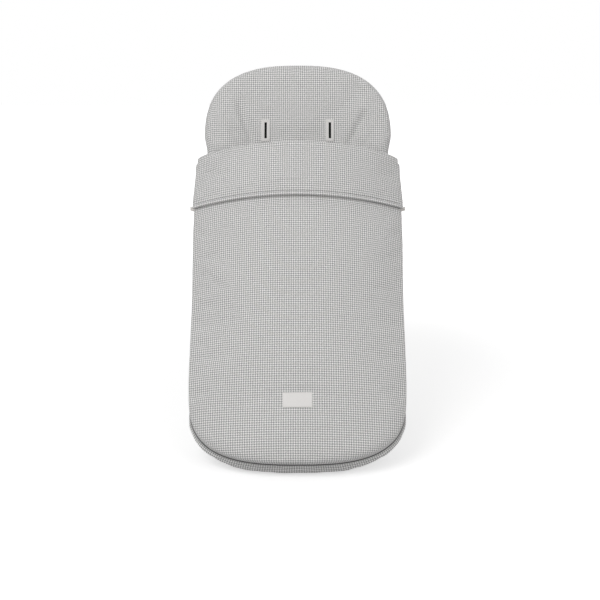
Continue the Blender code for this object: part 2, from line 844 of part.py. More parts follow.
def build_gusset():
    """The side wall from the zips and the foot seam down to the mat's rear edge."""
    panel_outline = toe_outline(FRONT_LENGTH)
    mat = mat_outline()
    half = []
    for step in range(GUSSET_SIDE_STEPS):
        share = step / GUSSET_SIDE_STEPS
        half.append(("side", FRONT_LENGTH + (FOOT_CURVE - FRONT_LENGTH) * share))
    for step in range(GUSSET_CURVE_STEPS + 1):
        half.append(("curve", math.pi / 2 * (1 - step / GUSSET_CURVE_STEPS)))
    stations = [(1, kind, value) for kind, value in half]
    stations += [(-1, kind, value) for kind, value in reversed(half[:-1])]
    rows = GUSSET_ROW_SHARES

    def top_at(station, inset):
        sign, kind, value = station
        if kind == "side":
            return sign * panel_outline.half_width(value, inset), value
        across = math.sin(value) ** (2 / SIDE_POWER)
        bow = math.cos(value) ** (2 / FOOT_POWER)
        width = (FRONT_HALF_WIDTH - inset) * across
        return sign * width, FOOT_CURVE - (FOOT_CURVE - inset) * bow

    def bottom_at(station, grow):
        sign, kind, value = station
        if kind == "side":
            place = mat_station(value)
            return sign * (MAT_HALF_WIDTH + grow), place
        width = (MAT_HALF_WIDTH + grow) * math.sin(value) ** (2 / SIDE_POWER)
        bow = math.cos(value) ** (2 / FOOT_POWER)
        return sign * width, MAT_FOOT_REACH - (MAT_FOOT_REACH + grow) * bow

    def place(station, row, inset):
        x_ref, s_ref = top_at(station, 0.0)
        x, s = top_at(station, inset)
        start = dome_at(x_ref, s_ref) - GUSSET_DROP
        if row == 0:
            return apron_point(x, s, start)
        upper = apron_point(x, s, start - GUSSET_TOP)
        share = rows[row]
        grow = PART_GAP + GUSSET_THICKNESS - inset
        x_low, distance = bottom_at(station, grow)
        lower = mat_point(x_low, distance, MAT_THICKNESS)
        depth = (upper - lower).dot(APRON_OUT)
        if depth < GUSSET_LEAST:
            lower -= APRON_OUT * (GUSSET_LEAST - depth)
        outward = Vector((x, 0.0, 0.0)) + APRON_UP * min(s - FOOT_CURVE, 0.0)
        swell = GUSSET_BULGE * math.sin(math.pi * share) * min(max(depth, 0.0) / FOOT_RISE, 1.0)
        return upper.lerp(lower, share) + outward.normalized() * swell

    count = len(stations) * len(rows)
    faces = []
    for j in range(len(rows) - 1):
        for i in range(len(stations) - 1):
            a = j * len(stations) + i
            faces.append([a, a + 1, a + len(stations) + 1, a + len(stations)])

    def at(near_top, below):
        def corner(number):
            row, station = divmod(number, len(stations))
            return place(stations[station], row, near_top if row < 2 else below)

        return corner

    start = FABRIC + LAYER_GAP
    tape_room = start + TAPE + LAYER_GAP
    end = start + GUSSET_WADDING
    fleece = end + LAYER_GAP
    inner = fleece + FLEECE
    layers = (
        ("gusset_shell", at(0.0, 0.0), at(FABRIC, FABRIC), CHECK),
        ("gusset_wadding", at(tape_room, start), at(end, end), PADDING),
        ("gusset_lining", at(fleece, fleece), at(inner, inner), FLEECE_WHITE),
    )
    for name, outer_at, inner_at, colour in layers:
        closed_layer(name, count, faces, outer_at, inner_at, colour)


def build_piping():
    """A round piping in the seam between the toe and the gusset."""
    drop = GUSSET_DROP - PIPING_RADIUS - PART_GAP
    inset = PIPING_RADIUS - LAYER_GAP
    points = []
    top = TOE_LENGTH - PART_GAP
    for step in range(PIPING_SIDE_STEPS):
        share = step / PIPING_SIDE_STEPS
        points.append((FRONT_HALF_WIDTH - inset, top + (FOOT_CURVE - top) * share))
    for step in range(PIPING_CURVE_STEPS + 1):
        angle = math.pi / 2 * (1 - step / PIPING_CURVE_STEPS)
        x = (FRONT_HALF_WIDTH - inset) * math.sin(angle) ** (2 / SIDE_POWER)
        points.append((x, FOOT_CURVE - (FOOT_CURVE - inset) * math.cos(angle) ** (2 / FOOT_POWER)))
    points += [(-x, s) for x, s in reversed(points[:-1])]
    curve = bpy.data.curves.new("seam_piping", "CURVE")
    curve.dimensions = "3D"
    curve.bevel_depth = PIPING_RADIUS
    curve.bevel_resolution = 1
    curve.use_fill_caps = True
    spline = curve.splines.new("POLY")
    spline.points.add(len(points) - 1)
    for point, (x, s) in zip(spline.points, points):
        point.co = (*apron_point(x, s, dome_at(x, s) - drop), 1.0)
    item = bpy.data.objects.new("seam_piping", curve)
    material = bpy.data.materials.new("seam_piping")
    material.use_nodes = True
    material.node_tree.nodes["Principled BSDF"].inputs["Base Color"].default_value = CREAM
    curve.materials.append(material)
    bpy.context.scene.collection.objects.link(item)


def zip_drop():
    """How far the zip's parting line lies below the dome's level at the side."""
    return FRONT_EDGE_DROP + TAPE_SHOWN


def zip_frame(sign, s):
    """Frame on a zip: X outward, Y up along the zip, Z toward the apron's side."""
    x = sign * (FRONT_HALF_WIDTH - TAPE_INSET)
    centre = apron_point(x, s, dome_at(FRONT_HALF_WIDTH, s) - zip_drop())
    along = (APRON_UP - APRON_OUT * DOME_SLOPE).normalized()
    toward = Vector((1.0, 0.0, 0.0)).cross(along)
    if toward.dot(APRON_OUT) < 0:
        toward = -toward
    return axes_frame(centre, Vector((sign, 0.0, 0.0)), along, toward)


def zip_bar(name, sign, start, end, thickness, near, far, colour):
    """A straight bar along a zip, between two distances from its parting line."""
    frame = zip_frame(sign, start)
    length = (end - start) * math.hypot(1.0, DOME_SLOPE)
    low = Vector((-thickness / 2, 0.0, min(near, far)))
    high = Vector((thickness / 2, length, max(near, far)))
    return box_object(name, low, high, frame, colour)


def build_zips():
    """Tapes, coils, stops, sliders and pullers of the two side zips."""
    slider_top = FRONT_LENGTH - SLIDER_BELOW_FOLD
    slider_low = slider_top - SLIDER_LENGTH
    mat_high = FRONT_LENGTH - PART_GAP
    coil_near = COIL_PARTING / 2
    coil_far = coil_near + COIL_WIDTH
    tape_near = coil_far + LAYER_GAP
    apron_top = slider_low - PART_GAP
    stop_low = ZIP_LOW - PART_GAP - STOP_LENGTH
    stop_high = stop_low + STOP_LENGTH
    mat_end = -TAPE_SHOWN - TAPE_TUCK
    apron_end = TAPE_SHOWN + APRON_TAPE_TUCK
    bars = (
        ("mat_coil_", ZIP_LOW, mat_high, COIL_THICKNESS, -coil_near, -coil_far, CREAM),
        ("apron_coil_", ZIP_LOW, apron_top, COIL_THICKNESS, coil_near, coil_far, CREAM),
        ("mat_tape_", ZIP_LOW, mat_high, TAPE, -tape_near, mat_end, CREAM),
        ("apron_tape_", ZIP_LOW, apron_top, TAPE, tape_near, apron_end, CREAM),
        ("zip_stop_", stop_low, stop_high, COIL_THICKNESS, -STOP_HALF_WIDTH, STOP_HALF_WIDTH, NICKEL),
    )
    for side, sign in (("left", -1), ("right", 1)):
        for name, start, end, thickness, near, far, colour in bars:
            zip_bar(name + side, sign, start, end, thickness, near, far, colour)
        build_slider(side, sign, slider_top)
        build_cuff_tape(side, sign)


def build_slider(side, sign, top):
    """A slider over both coils, with a bridge on its face, and the puller that hangs from it."""
    frame = zip_frame(sign, top)
    half, foot = SLIDER_WIDTH / 2, SLIDER_FOOT_WIDTH / 2
    shoulder = SLIDER_LENGTH * SLIDER_SHOULDER_SHARE
    crown = half * SLIDER_TOP_SHARE
    outline = [
        (-foot, -SLIDER_LENGTH),
        (foot, -SLIDER_LENGTH),
        (half, -shoulder),
        (crown, 0.0),
        (-crown, 0.0),
        (-half, -shoulder),
    ]
    channel = SLIDER_CHANNEL / 2
    body = extruded("slider_" + side, outline, SLIDER_PLATE, NICKEL)
    body.matrix_world = frame @ Matrix.Translation((channel, 0.0, 0.0)) @ ACROSS_ZIP
    back = extruded("slider_back_" + side, outline, SLIDER_PLATE, NICKEL)
    behind = Matrix.Translation((-channel - SLIDER_PLATE, 0.0, 0.0))
    back.matrix_world = frame @ behind @ ACROSS_ZIP
    reach = channel + SLIDER_PLATE / 2
    divider = box_object(
        "slider_divider_" + side,
        Vector((-reach, -SLIDER_DIVIDER, -DIVIDER_WIDTH / 2)),
        Vector((reach, -PART_GAP, DIVIDER_WIDTH / 2)),
        frame,
        NICKEL,
    )
    face = channel + SLIDER_PLATE
    pin = bridge_centre()
    eye = BRIDGE_EYE_LENGTH / 2
    outer = eye + BRIDGE_BAR
    top_height = face + BRIDGE_EYE_HEIGHT
    bridge = box_object(
        "slider_bridge_" + side,
        Vector((face - SLIDER_PLATE / 2, pin - outer, -BRIDGE_WIDTH / 2)),
        Vector((top_height + BRIDGE_BAR, pin + outer, BRIDGE_WIDTH / 2)),
        frame,
        NICKEL,
    )
    hole = box_object(
        "slider_eye_" + side,
        Vector((face, pin - eye, -BRIDGE_WIDTH)),
        Vector((top_height, pin + eye, BRIDGE_WIDTH)),
        frame,
        NICKEL,
    )
    combine(bridge, hole, "DIFFERENCE")
    for other in (divider, back, bridge):
        combine(body, other, "UNION")
    build_puller(side, sign, frame, face, pin)


def bridge_centre():
    """Place of the bridge's eye along the slider, below its top."""
    return -SLIDER_LENGTH * BRIDGE_PLACE_SHARE


def build_puller(side, sign, frame, face, pin):
    """A flat tab with a window, whose upper bar turns in the bridge's eye."""
    half = PULLER_WIDTH / 2
    bar = PULLER_THICKNESS
    window_half = BRIDGE_WIDTH / 2 + PART_GAP
    corner = half * PULLER_CORNER_SHARE
    low = bar / 2 - PULLER_LENGTH
    outline = [
        (-half, bar / 2),
        (-half, low + corner),
        (-corner, low),
        (corner, low),
        (half, low + corner),
        (half, bar / 2),
    ]
    window = [
        (-window_half, -bar / 2),
        (-window_half, -bar / 2 - PULLER_WINDOW),
        (window_half, -bar / 2 - PULLER_WINDOW),
        (window_half, -bar / 2),
    ]
    puller = extruded("puller_" + side, outline, PULLER_THICKNESS, NICKEL, window)
    height = face + BRIDGE_EYE_HEIGHT / 2 - PULLER_THICKNESS / 2
    puller.matrix_world = frame @ Matrix.Translation((height, pin, 0.0)) @ ACROSS_ZIP


def build_cuff_tape(side, sign):
    """The zip tape's turned end in the cuff's side edge, with the tab that shows below it."""
    shell, _, _ = cuff_layers()
    outward = shell[1][0] + LAYER_GAP + TAPE / 2
    edge = TAPE_SHOWN
    low = CUFF_LOW - FABRIC - 2 * LAYER_GAP
    frame = zip_frame(sign, low)
    frame = frame @ Matrix.Translation((TAPE_INSET + outward - TAPE / 2, 0.0, 0.0))
    length = (FRONT_LENGTH - CUFF_CLEARANCE - low) * math.hypot(1.0, DOME_SLOPE)
    tuck = edge + APRON_TAPE_TUCK
    start = edge - FABRIC
    outline = [
        (start, -TAB_LENGTH),
        (start + TAB_WIDTH, -TAB_LENGTH),
        (start + TAB_WIDTH, -CUFF_CLEARANCE),
        (tuck, -CUFF_CLEARANCE),
        (tuck, length),
        (start, length),
    ]
    tape = extruded("cuff_tape_" + side, outline, TAPE, CREAM)
    tape.matrix_world = frame @ ACROSS_ZIP


def build_pocket():
    """The head pocket behind the head panel, open downward, with an elastic in its mouth."""
    low = PATH.length - POCKET_DEPTH
    inner = PATH.length - POCKET_MARGIN
    end = RoundEnd(inner, HEAD_ARCH, HEAD_POWER)
    outline = Outline(lambda s: HEAD_HALF_WIDTH - POCKET_MARGIN, low, inner, high_end=end)
    roll = Roll(POCKET_ROLL, ("left", "high", "right"), 0.0)
    panel = Panel(outline, roll, POCKET_COLUMNS, POCKET_ROWS)
    points, faces = without_hem(panel)

    def at(depth):
        def corner(number):
            (x, s), turn, _ = panel.plan(points[number], depth)
            rise = PART_GAP + (POCKET_RISE - PART_GAP - depth) * math.cos(turn)
            return mat_point(x, s, MAT_THICKNESS + rise)

        return corner

    closed_layer("head_pocket", len(points), faces, at(0.0), at(POCKET_WALL), CHECK)
    build_elastic(panel)


def build_elastic(panel):
    """The elastic inside the pocket's mouth, following its inner wall from side to side."""
    ring = range(ROLL_STEPS - 1, 0, -1)
    left = [panel.points[panel.index[(0, 0, k)]] for k in ring]
    middle = [panel.points[panel.index[(i, 0, 0)]] for i in range(panel.columns + 1)]
    right = [panel.points[panel.index[(panel.columns, 0, k)]] for k in reversed(ring)]
    near = POCKET_WALL + LAYER_GAP
    loops = []
    for point in left + middle + right:
        loop = []
        for along, depth in (
            (LAYER_GAP, near),
            (LAYER_GAP, near + ELASTIC),
            (ELASTIC_WIDTH, near + ELASTIC),
            (ELASTIC_WIDTH, near),
        ):
            u, _, k, side = point
            (x, s), turn, _ = panel.plan((u, along / POCKET_DEPTH, k, side), depth)
            rise = PART_GAP + (POCKET_RISE - PART_GAP - depth) * math.cos(turn)
            loop.append(mat_point(x, s, MAT_THICKNESS + rise))
        loops.append(loop)
    looped_body("pocket_elastic", loops, CREAM, ring=False)


def clear_scene():
    for item in list(bpy.data.objects):
        bpy.data.objects.remove(item, do_unlink=True)


def main():
    clear_scene()
    layers = build_mat()
    build_slots(layers)
    build_front()
    build_fold_and_hem()
    build_label()
    build_gusset()
    build_piping()
    build_zips()
    build_pocket()


main()
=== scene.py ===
"""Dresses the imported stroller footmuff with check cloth, padding, fleece, zips, welts and seams.

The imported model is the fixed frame, in metres, +Z up, front facing -Y. Each soft solid of it is
replaced by a sewn piece of the same form, swollen by a cloth simulation, and the small metal parts
keep their solids.
"""

import json
import logging
import math
from abc import ABC, abstractmethod
from dataclasses import dataclass, field
from enum import Enum
from functools import cache, partial
from typing import Callable, Optional, Sequence

import bmesh
import bpy
import numpy as np
from mathutils import Matrix, Vector, noise

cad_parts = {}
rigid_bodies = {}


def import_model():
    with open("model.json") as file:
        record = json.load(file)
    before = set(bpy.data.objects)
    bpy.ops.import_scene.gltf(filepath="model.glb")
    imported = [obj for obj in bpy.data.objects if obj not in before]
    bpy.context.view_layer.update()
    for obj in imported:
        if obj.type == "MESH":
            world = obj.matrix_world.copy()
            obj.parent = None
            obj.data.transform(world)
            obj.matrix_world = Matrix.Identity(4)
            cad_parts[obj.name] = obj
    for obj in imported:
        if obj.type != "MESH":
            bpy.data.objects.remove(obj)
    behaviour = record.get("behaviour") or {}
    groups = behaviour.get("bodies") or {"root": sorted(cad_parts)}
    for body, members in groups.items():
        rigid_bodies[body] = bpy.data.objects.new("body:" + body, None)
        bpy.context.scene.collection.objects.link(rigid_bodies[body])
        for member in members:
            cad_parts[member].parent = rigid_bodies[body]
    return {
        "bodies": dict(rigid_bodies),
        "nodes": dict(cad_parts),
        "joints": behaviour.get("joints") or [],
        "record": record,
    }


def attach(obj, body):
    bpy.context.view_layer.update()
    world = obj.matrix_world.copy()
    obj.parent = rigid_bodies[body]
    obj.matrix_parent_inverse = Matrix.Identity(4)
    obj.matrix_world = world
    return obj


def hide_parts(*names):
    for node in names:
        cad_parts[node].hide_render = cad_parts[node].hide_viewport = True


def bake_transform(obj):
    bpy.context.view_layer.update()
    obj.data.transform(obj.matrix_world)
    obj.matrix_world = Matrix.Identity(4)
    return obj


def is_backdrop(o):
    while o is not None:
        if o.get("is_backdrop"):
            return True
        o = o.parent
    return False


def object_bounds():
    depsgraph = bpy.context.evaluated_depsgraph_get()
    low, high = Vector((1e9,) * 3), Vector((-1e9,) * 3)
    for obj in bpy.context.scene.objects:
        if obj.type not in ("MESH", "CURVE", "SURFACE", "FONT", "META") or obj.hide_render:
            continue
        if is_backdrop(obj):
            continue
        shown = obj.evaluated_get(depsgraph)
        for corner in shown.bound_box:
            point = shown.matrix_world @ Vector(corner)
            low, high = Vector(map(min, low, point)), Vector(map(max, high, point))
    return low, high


LOG = logging.getLogger("footmuff")

Colour = tuple[float, float, float, float]
Plan = tuple[float, float]
Place = tuple[float, float, float]
Socket = bpy.types.NodeSocket
Sockets = bpy.types.bpy_prop_collection


class Body(Enum):
    """The bodies that the pieces ride on."""

    MAT = "mat"
    APRON = "apron"
    CUFF = "cuff"


class Side(Enum):
    """Left and right as seen from the front, with the sign of X."""

    LEFT = -1
    RIGHT = 1

    @property
    def word(self) -> str:
        """The side's name in node and piece names."""
        return self.name.lower()


def heading(degrees: float) -> tuple[Vector, Vector]:
    """Direction up a line that leans back, and the front normal beside it.

    Args:
        degrees: The lean from the vertical.

    Returns:
        The unit vector along the line and the one out of its front.
    """
    turn = math.radians(degrees)
    along = Vector((0.0, math.sin(turn), math.cos(turn)))
    return along, Vector((0.0, -math.cos(turn), math.sin(turn)))


def smooth(share: float) -> float:
    """Ease a share between 0 and 1."""
    share = min(max(share, 0.0), 1.0)
    return share * share * (3 - 2 * share)


@dataclass
class BentPath:
    """The mat's front line from the foot to the head: straight runs joined by arcs."""

    leg: float = 0.211
    seat: float = 0.127
    backrest: float = 0.609
    knee_radius: float = 0.060
    crease_radius: float = 0.080
    mount_above_crease: float = 0.2156
    leg_deg: float = 40.5
    seat_deg: float = 69.5
    recline_deg: float = 25.0
    thickness: float = 0.024
    runs: list[tuple[float, float]] = field(default_factory=list)
    origin: Vector = field(default_factory=Vector)

    def __post_init__(self) -> None:
        """Work out the runs and set the origin on the rear face."""
        knee_turn = self.seat_deg - self.leg_deg
        crease_turn = self.recline_deg - self.seat_deg
        knee_cut = self.knee_radius * math.tan(math.radians(abs(knee_turn)) / 2)
        crease_cut = self.crease_radius * math.tan(math.radians(abs(crease_turn)) / 2)
        self.runs = [
            (self.leg - knee_cut, 0.0),
            (self.knee_radius * math.radians(abs(knee_turn)), knee_turn),
            (self.seat - knee_cut - crease_cut, 0.0),
            (self.crease_radius * math.radians(abs(crease_turn)), crease_turn),
            (self.backrest - crease_cut, 0.0),
        ]
        point, front = self.at(self.mount)
        self.origin = front * self.thickness - point

    @property
    def length(self) -> float:
        """Length of the whole line."""
        return sum(run for run, _ in self.runs)

    @property
    def mount(self) -> float:
        """Distance from the foot to the level of the rear mount."""
        return self.length - self.backrest + self.mount_above_crease

    @property
    def knee(self) -> float:
        """Distance from the foot to the end of the knee's arc."""
        return self.runs[0][0] + self.runs[1][0]

    @property
    def crease(self) -> float:
        """Distance from the foot to the end of the crease's arc."""
        return self.length - self.runs[4][0]

    def at(self, distance: float) -> tuple[Vector, Vector]:
        """Point of the line and its front normal.

        Args:
            distance: Length along the line from the foot.

        Returns:
            The point and the unit normal out of the mat's front.
        """
        point = self.origin.copy()
        angle = self.leg_deg
        for number, (run, turn) in enumerate(self.runs):
            last = number == len(self.runs) - 1
            part = distance if last else min(distance, run)
            here = angle + turn * part / run
            if turn:
                swing = math.radians(abs(here - angle))
                radius = run / math.radians(abs(turn))
                point += heading((angle + here) / 2)[0] * 2 * radius * math.sin(swing / 2)
            else:
                point += heading(angle)[0] * part
            distance -= part
            if distance <= 0 or last:
                return point, heading(here)[1]
            angle += turn
        return point, heading(angle)[1]


PATH = BentPath()
FRONT_UP, FRONT_OUT = heading(35.0)
TOE_POINT = PATH.at(0.0)[0] + FRONT_OUT * 0.042 - FRONT_UP * 0.0075
X_AXIS = Vector((1.0, 0.0, 0.0))


@dataclass(frozen=True)
class Sizes:
    """Sizes that several pieces share, in metres."""

    front_half: float = 0.2225
    front_length: float = 0.6955
    foot_curve: float = 0.1443
    dome_foot: float = 0.0341
    dome_fold: float = 0.0727
    edge_drop: float = 0.010
    front_thick: float = 0.0133
    cuff_low: float = 0.5805
    cuff_out: float = 0.0100
    cuff_under: float = 0.001
    mat_half: float = 0.2045
    head_half: float = 0.2115
    head_arch: float = 0.173
    side_power: float = 2.6
    foot_power: float = 2.7
    head_power: float = 2.64
    tape: float = 0.0008
    tape_shown: float = 0.0065
    check: float = 0.0048
    clearance: float = 0.0003
    foot_bend: Plan = (0.148, 0.205)
    fold_bend: Plan = (0.700, 0.622)

    @property
    def gusset_drop(self) -> float:
        """How far the gusset's upper edge lies below the dome at the rim."""
        return self.edge_drop + 2 * self.tape_shown


SIZES = Sizes()


def mat_point(x: float, distance: float, depth: float) -> Vector:
    """Place at a width, a distance from the foot and a depth behind the mat's front face."""
    point, front = PATH.at(distance)
    return point - front * depth + X_AXIS * x


def front_point(x: float, s: float, n: float) -> Vector:
    """Place in the front panel's frame: across, up from the toe and outward."""
    return TOE_POINT + X_AXIS * x + FRONT_UP * s + FRONT_OUT * n


def dome_rate(s: float) -> float:
    """Fall of the dome at the rim, at a place up the front."""
    return SIZES.dome_foot + (SIZES.dome_fold - SIZES.dome_foot) * s / SIZES.front_length


def dome_at(x: float, s: float) -> float:
    """Height of the front's dome, which falls away from the middle toward both sides."""
    return -dome_rate(s) * (x / SIZES.front_half) ** 2


def dome_arc(x: float, s: float) -> float:
    """Length of cloth across the dome from the middle to a width, for the cloth's pattern."""
    slope = 2 * dome_rate(s) * abs(x) / SIZES.front_half**2
    return x * (1 + slope**2 / 6)


@dataclass(frozen=True)
class RoundEnd:
    """A rounded end of an outline: where it ends, how far in its curve starts, how full it is."""

    place: float
    reach: float
    power: float


@dataclass(frozen=True)
class Outline:
    """A long outline, the same left and right, whose ends are straight cuts or rounded."""

    base: Callable[[float], float]
    low: float
    high: float
    low_end: Optional[RoundEnd] = None
    high_end: Optional[RoundEnd] = None
    corner: float = 0.80
    end_share: float = 1.0

    def end(self, name: str) -> Optional[RoundEnd]:
        """The rounded end on a side, if it has one."""
        return self.low_end if name == "low" else self.high_end

    def half_width(self, s: float, inset: float) -> float:
        """Half width at a place, inside an inset from the edge."""
        share = 1.0
        for name in ("low", "high"):
            end = self.end(name)
            if end is None:
                continue
            past = end.place + end.reach - s if name == "low" else s - end.place + end.reach
            if past > 0:
                ratio = min(past / (end.reach - inset), 1.0)
                share *= (1 - ratio**end.power) ** (1 / SIZES.side_power)
        return (self.base(s) - inset) * share

    def end_at(self, name: str, share: float, inset: float) -> float:
        """Place of the end edge at a share of the half width from the middle."""
        end = self.end(name)
        if end is None:
            step = inset * self.end_share
            return self.low + step if name == "low" else self.high - step
        bow = (end.reach - inset) * (1 - abs(share) ** SIZES.side_power) ** (1 / end.power)
        return end.place + end.reach - bow if name == "low" else end.place - end.reach + bow

    def corner_share(self, name: str) -> float:
        """Share of the half width at which an end's edge meets the sides."""
        return self.corner if self.end(name) else 1.0

    def corner_place(self, name: str, inset: float) -> float:
        """Place at which an end's edge meets the sides."""
        return self.end_at(name, self.corner_share(name), inset)

    def edge(self, side: str, share: float, inset: float) -> Plan:
        """Point on one of the four sides.

        Args:
            side: One of low, high, left and right.
            share: From -1 to 1 across the ends, and from 0 to 1 up the sides.
            inset: Distance inside the outline.

        Returns:
            The width and the place up the outline.
        """
        if side in ("low", "high"):
            part = share * self.corner_share(side)
            place = self.end_at(side, part, inset)
            return part * (self.base(place) - inset), place
        start = self.corner_place("low", inset)
        place = start + share * (self.corner_place("high", inset) - start)
        half = self.half_width(place, inset)
        return (-half if side == "left" else half), place

    def inside(self, u: float, v: float, inset: float) -> Plan:
        """Point of the inner field, whose rows bow like the ends near them."""
        start, stop = self.corner_place("low", inset), self.corner_place("high", inset)
        span = stop - start
        straight = start + v * span
        place = straight
        for name, weight in (("low", v), ("high", 1 - v)):
            end = self.end(name)
            if end is None:
                continue
            corner = self.corner_share(name)
            bow = self.end_at(name, u * corner, inset) - self.end_at(name, corner, inset)
            place += bow * max(0.0, 1 - weight * span / min(end.reach * 2, span)) ** 2
        return u * self.half_width(straight, inset), place


@dataclass(frozen=True)
class Spot:
    """A point of a ringed plan: its place, its cloth's place, its turn round the edge, its fall."""

    x: float
    s: float
    cloth_x: float
    cloth_s: float
    share: float
    fall: float = 0.0


@dataclass(frozen=True)
class RingedPlan:
    """A grid over an outline whose outer cells go round the padded edge."""

    outline: Outline
    reach: float
    drop: float
    columns: int
    rows: int
    ring: int
    open_low: bool = False
    bulge: float = 0.0
    top_bulge: float = 0.0
    tuck: float = 0.0
    lip: float = 0.0
    hem: float = 0.0
    hem_end: float = 0.0

    def swell(self, part: float, sides: bool) -> float:
        """How far the padded edge stands out past the seam, at a share of the way along it."""
        if self.outline.low_end and not sides:
            return 0.0
        top = self.bulge + (self.top_bulge - self.bulge) * smooth((part - 0.45) / 0.30)
        return top * (smooth(part / 0.25) if self.outline.low_end else 1.0)

    def profile(self, share: float, rim: float, swell: float, hem: float) -> Plan:
        """Inset and fall of the rounded edge, at a share of the way down it."""
        turn = math.pi / 2 * share
        inset = self.reach * (1 - math.sin(turn)) + rim * math.sin(turn)
        down = hem * max(share * self.ring - self.ring + 1, 0.0)
        return inset - swell * math.sin(2 * turn), self.drop * (1 - math.cos(turn)) + down

    @cache
    def spot(self, i: float, j: float, under: bool = False, rim: float = 0.0) -> Spot:
        """Place of a grid point on the face, or on the underside.

        Args:
            i: Column.
            j: Row.
            under: Whether the point lies on the flat underside.
            rim: Inset of the rim.

        Returns:
            The spot, whose share goes from 0 inside to 1 at the rim.
        """
        ring = self.ring
        low_ring = 0 if self.open_low else ring
        across = max(ring - i, i - (self.columns - ring), 0)
        along = max(low_ring - j, j - (self.rows - ring), 0)
        step = max(across, along)
        share = step / ring
        outline = self.outline
        if not step:
            u = 2 * (i - ring) / (self.columns - 2 * ring) - 1
            v = (j - low_ring) / (self.rows - low_ring - ring)
            x, s = outline.inside(u, v, self.reach)
            return Spot(x, s, x, s, 0.0)
        low = low_ring - step if low_ring else 0
        sides = across >= along
        if sides:
            side = "left" if i < ring else "right"
            part = (j - low) / (self.rows - low - ring + step)
        else:
            side = "low" if j < low_ring else "high"
            part = 2 * (i - ring + step) / (self.columns - 2 * (ring - step)) - 1
        tucked = self.tuck * (1 - smooth(part / 0.25) if sides else float(side == "low"))
        swell = self.swell(part, sides)
        hem = self.hem * (1 - smooth((outline.edge(side, part, 0.0)[1] - self.hem_end) / 0.004))
        profile = [
            self.profile(k / ring / 4, rim + tucked, swell, hem) for k in range(4 * step + 1)
        ]
        inset, fall = profile[-1]
        if under:
            lip = self.lip * smooth((1 - abs(part)) / 0.06) if side == "low" else 0.0
            inset, fall = self.reach * (1 - share) + (tucked + lip) * share, hem * (step == ring)
        flat = self.reach - sum(math.dist(a, b) for a, b in zip(profile, profile[1:]))
        x, s = outline.edge(side, part, inset)
        cloth_x, cloth_s = outline.edge(side, part, flat)
        return Spot(x, s, cloth_x, cloth_s, share, fall)


@dataclass(frozen=True)
class Crease:
    """A soft fold in padded cloth, between two places of its plan."""

    start: Plan
    end: Plan
    depth: float
    width: float

    def lift(self, x: float, s: float) -> float:
        """How far the cloth stands out at a place: a valley with a low ridge on each side."""
        place, start = Vector((x, s)), Vector(self.start)
        run = Vector(self.end) - start
        share = min(max((place - start).dot(run) / run.length_squared, 0.0), 1.0)
        away = (place - (start + run * share)).length / self.width
        if away > 3:
            return 0.0
        fade = smooth(2 * (1.0 - abs(2 * share - 1)) + 0.25)
        return -self.depth * fade * (1 - 0.9 * away**2) * math.exp(-(away**2))


def linked(name: str, data: bpy.types.ID) -> bpy.types.Object:
    """Make an object of some data and add it to the scene."""
    item = bpy.data.objects.new(name, data)
    bpy.context.scene.collection.objects.link(item)
    return item


@dataclass
class GridBody:
    """A closed body over a grid: a face and an underside that meet at the rim."""

    name: str
    columns: int
    rows: int
    face: Callable[[int, int], Vector]
    under: Callable[[int, int], Vector]
    cloth: Callable[[int, int], Plan]
    under_slot: int = 1

    def build(self) -> bpy.types.Object:
        """Make the mesh object, with its cloth map in metres and its underside's material slot."""
        work = bmesh.new()
        layer = work.loops.layers.uv.new("cloth")
        cells = [(i, j) for j in range(self.rows + 1) for i in range(self.columns + 1)]
        spots = {cell: self.cloth(*cell) for cell in cells}
        sheets = []
        for place in (self.face, self.under):
            sheets.append({cell: work.verts.new(place(*cell)) for cell in cells})

        def add(points: Sequence[tuple[int, Plan]], slot: int) -> None:
            """Add a face whose corners are sheet numbers and cells."""
            made = work.faces.new([sheets[sheet][cell] for sheet, cell in points])
            made.material_index = slot
            made.smooth = True
            for loop, (_, cell) in zip(made.loops, points):
                loop[layer].uv = spots[cell]

        for j in range(self.rows):
            for i in range(self.columns):
                square = [(i, j), (i + 1, j), (i + 1, j + 1), (i, j + 1)]
                add([(0, cell) for cell in square], 0)
                add([(1, cell) for cell in reversed(square)], self.under_slot)
        border = [(i, 0) for i in range(self.columns)]
        border += [(self.columns, j) for j in range(self.rows)]
        border += [(i, self.rows) for i in range(self.columns, 0, -1)]
        border += [(0, j) for j in range(self.rows, 0, -1)]
        for a, b in zip(border, border[1:] + border[:1]):
            add([(0, b), (0, a), (1, a), (1, b)], 0)
        bmesh.ops.recalc_face_normals(work, faces=work.faces)
        mesh = bpy.data.meshes.new(self.name)
        work.to_mesh(mesh)
        work.free()
        return linked(self.name, mesh)


def positions(item: bpy.types.Object) -> np.ndarray:
    """Vertex places of a mesh object as rows."""
    values = np.empty(len(item.data.vertices) * 3)
    item.data.vertices.foreach_get("co", values)
    return values.reshape(-1, 3)


def set_positions(item: bpy.types.Object, places: np.ndarray) -> None:
    """Write vertex places back to a mesh object."""
    item.data.vertices.foreach_set("co", places.astype(np.float32).ravel())
    item.data.update()


def only(item: bpy.types.Object) -> bpy.types.Object:
    """Make one object the whole selection."""
    bpy.ops.object.select_all(action="DESELECT")
    item.select_set(True)
    bpy.context.view_layer.objects.active = item
    return item


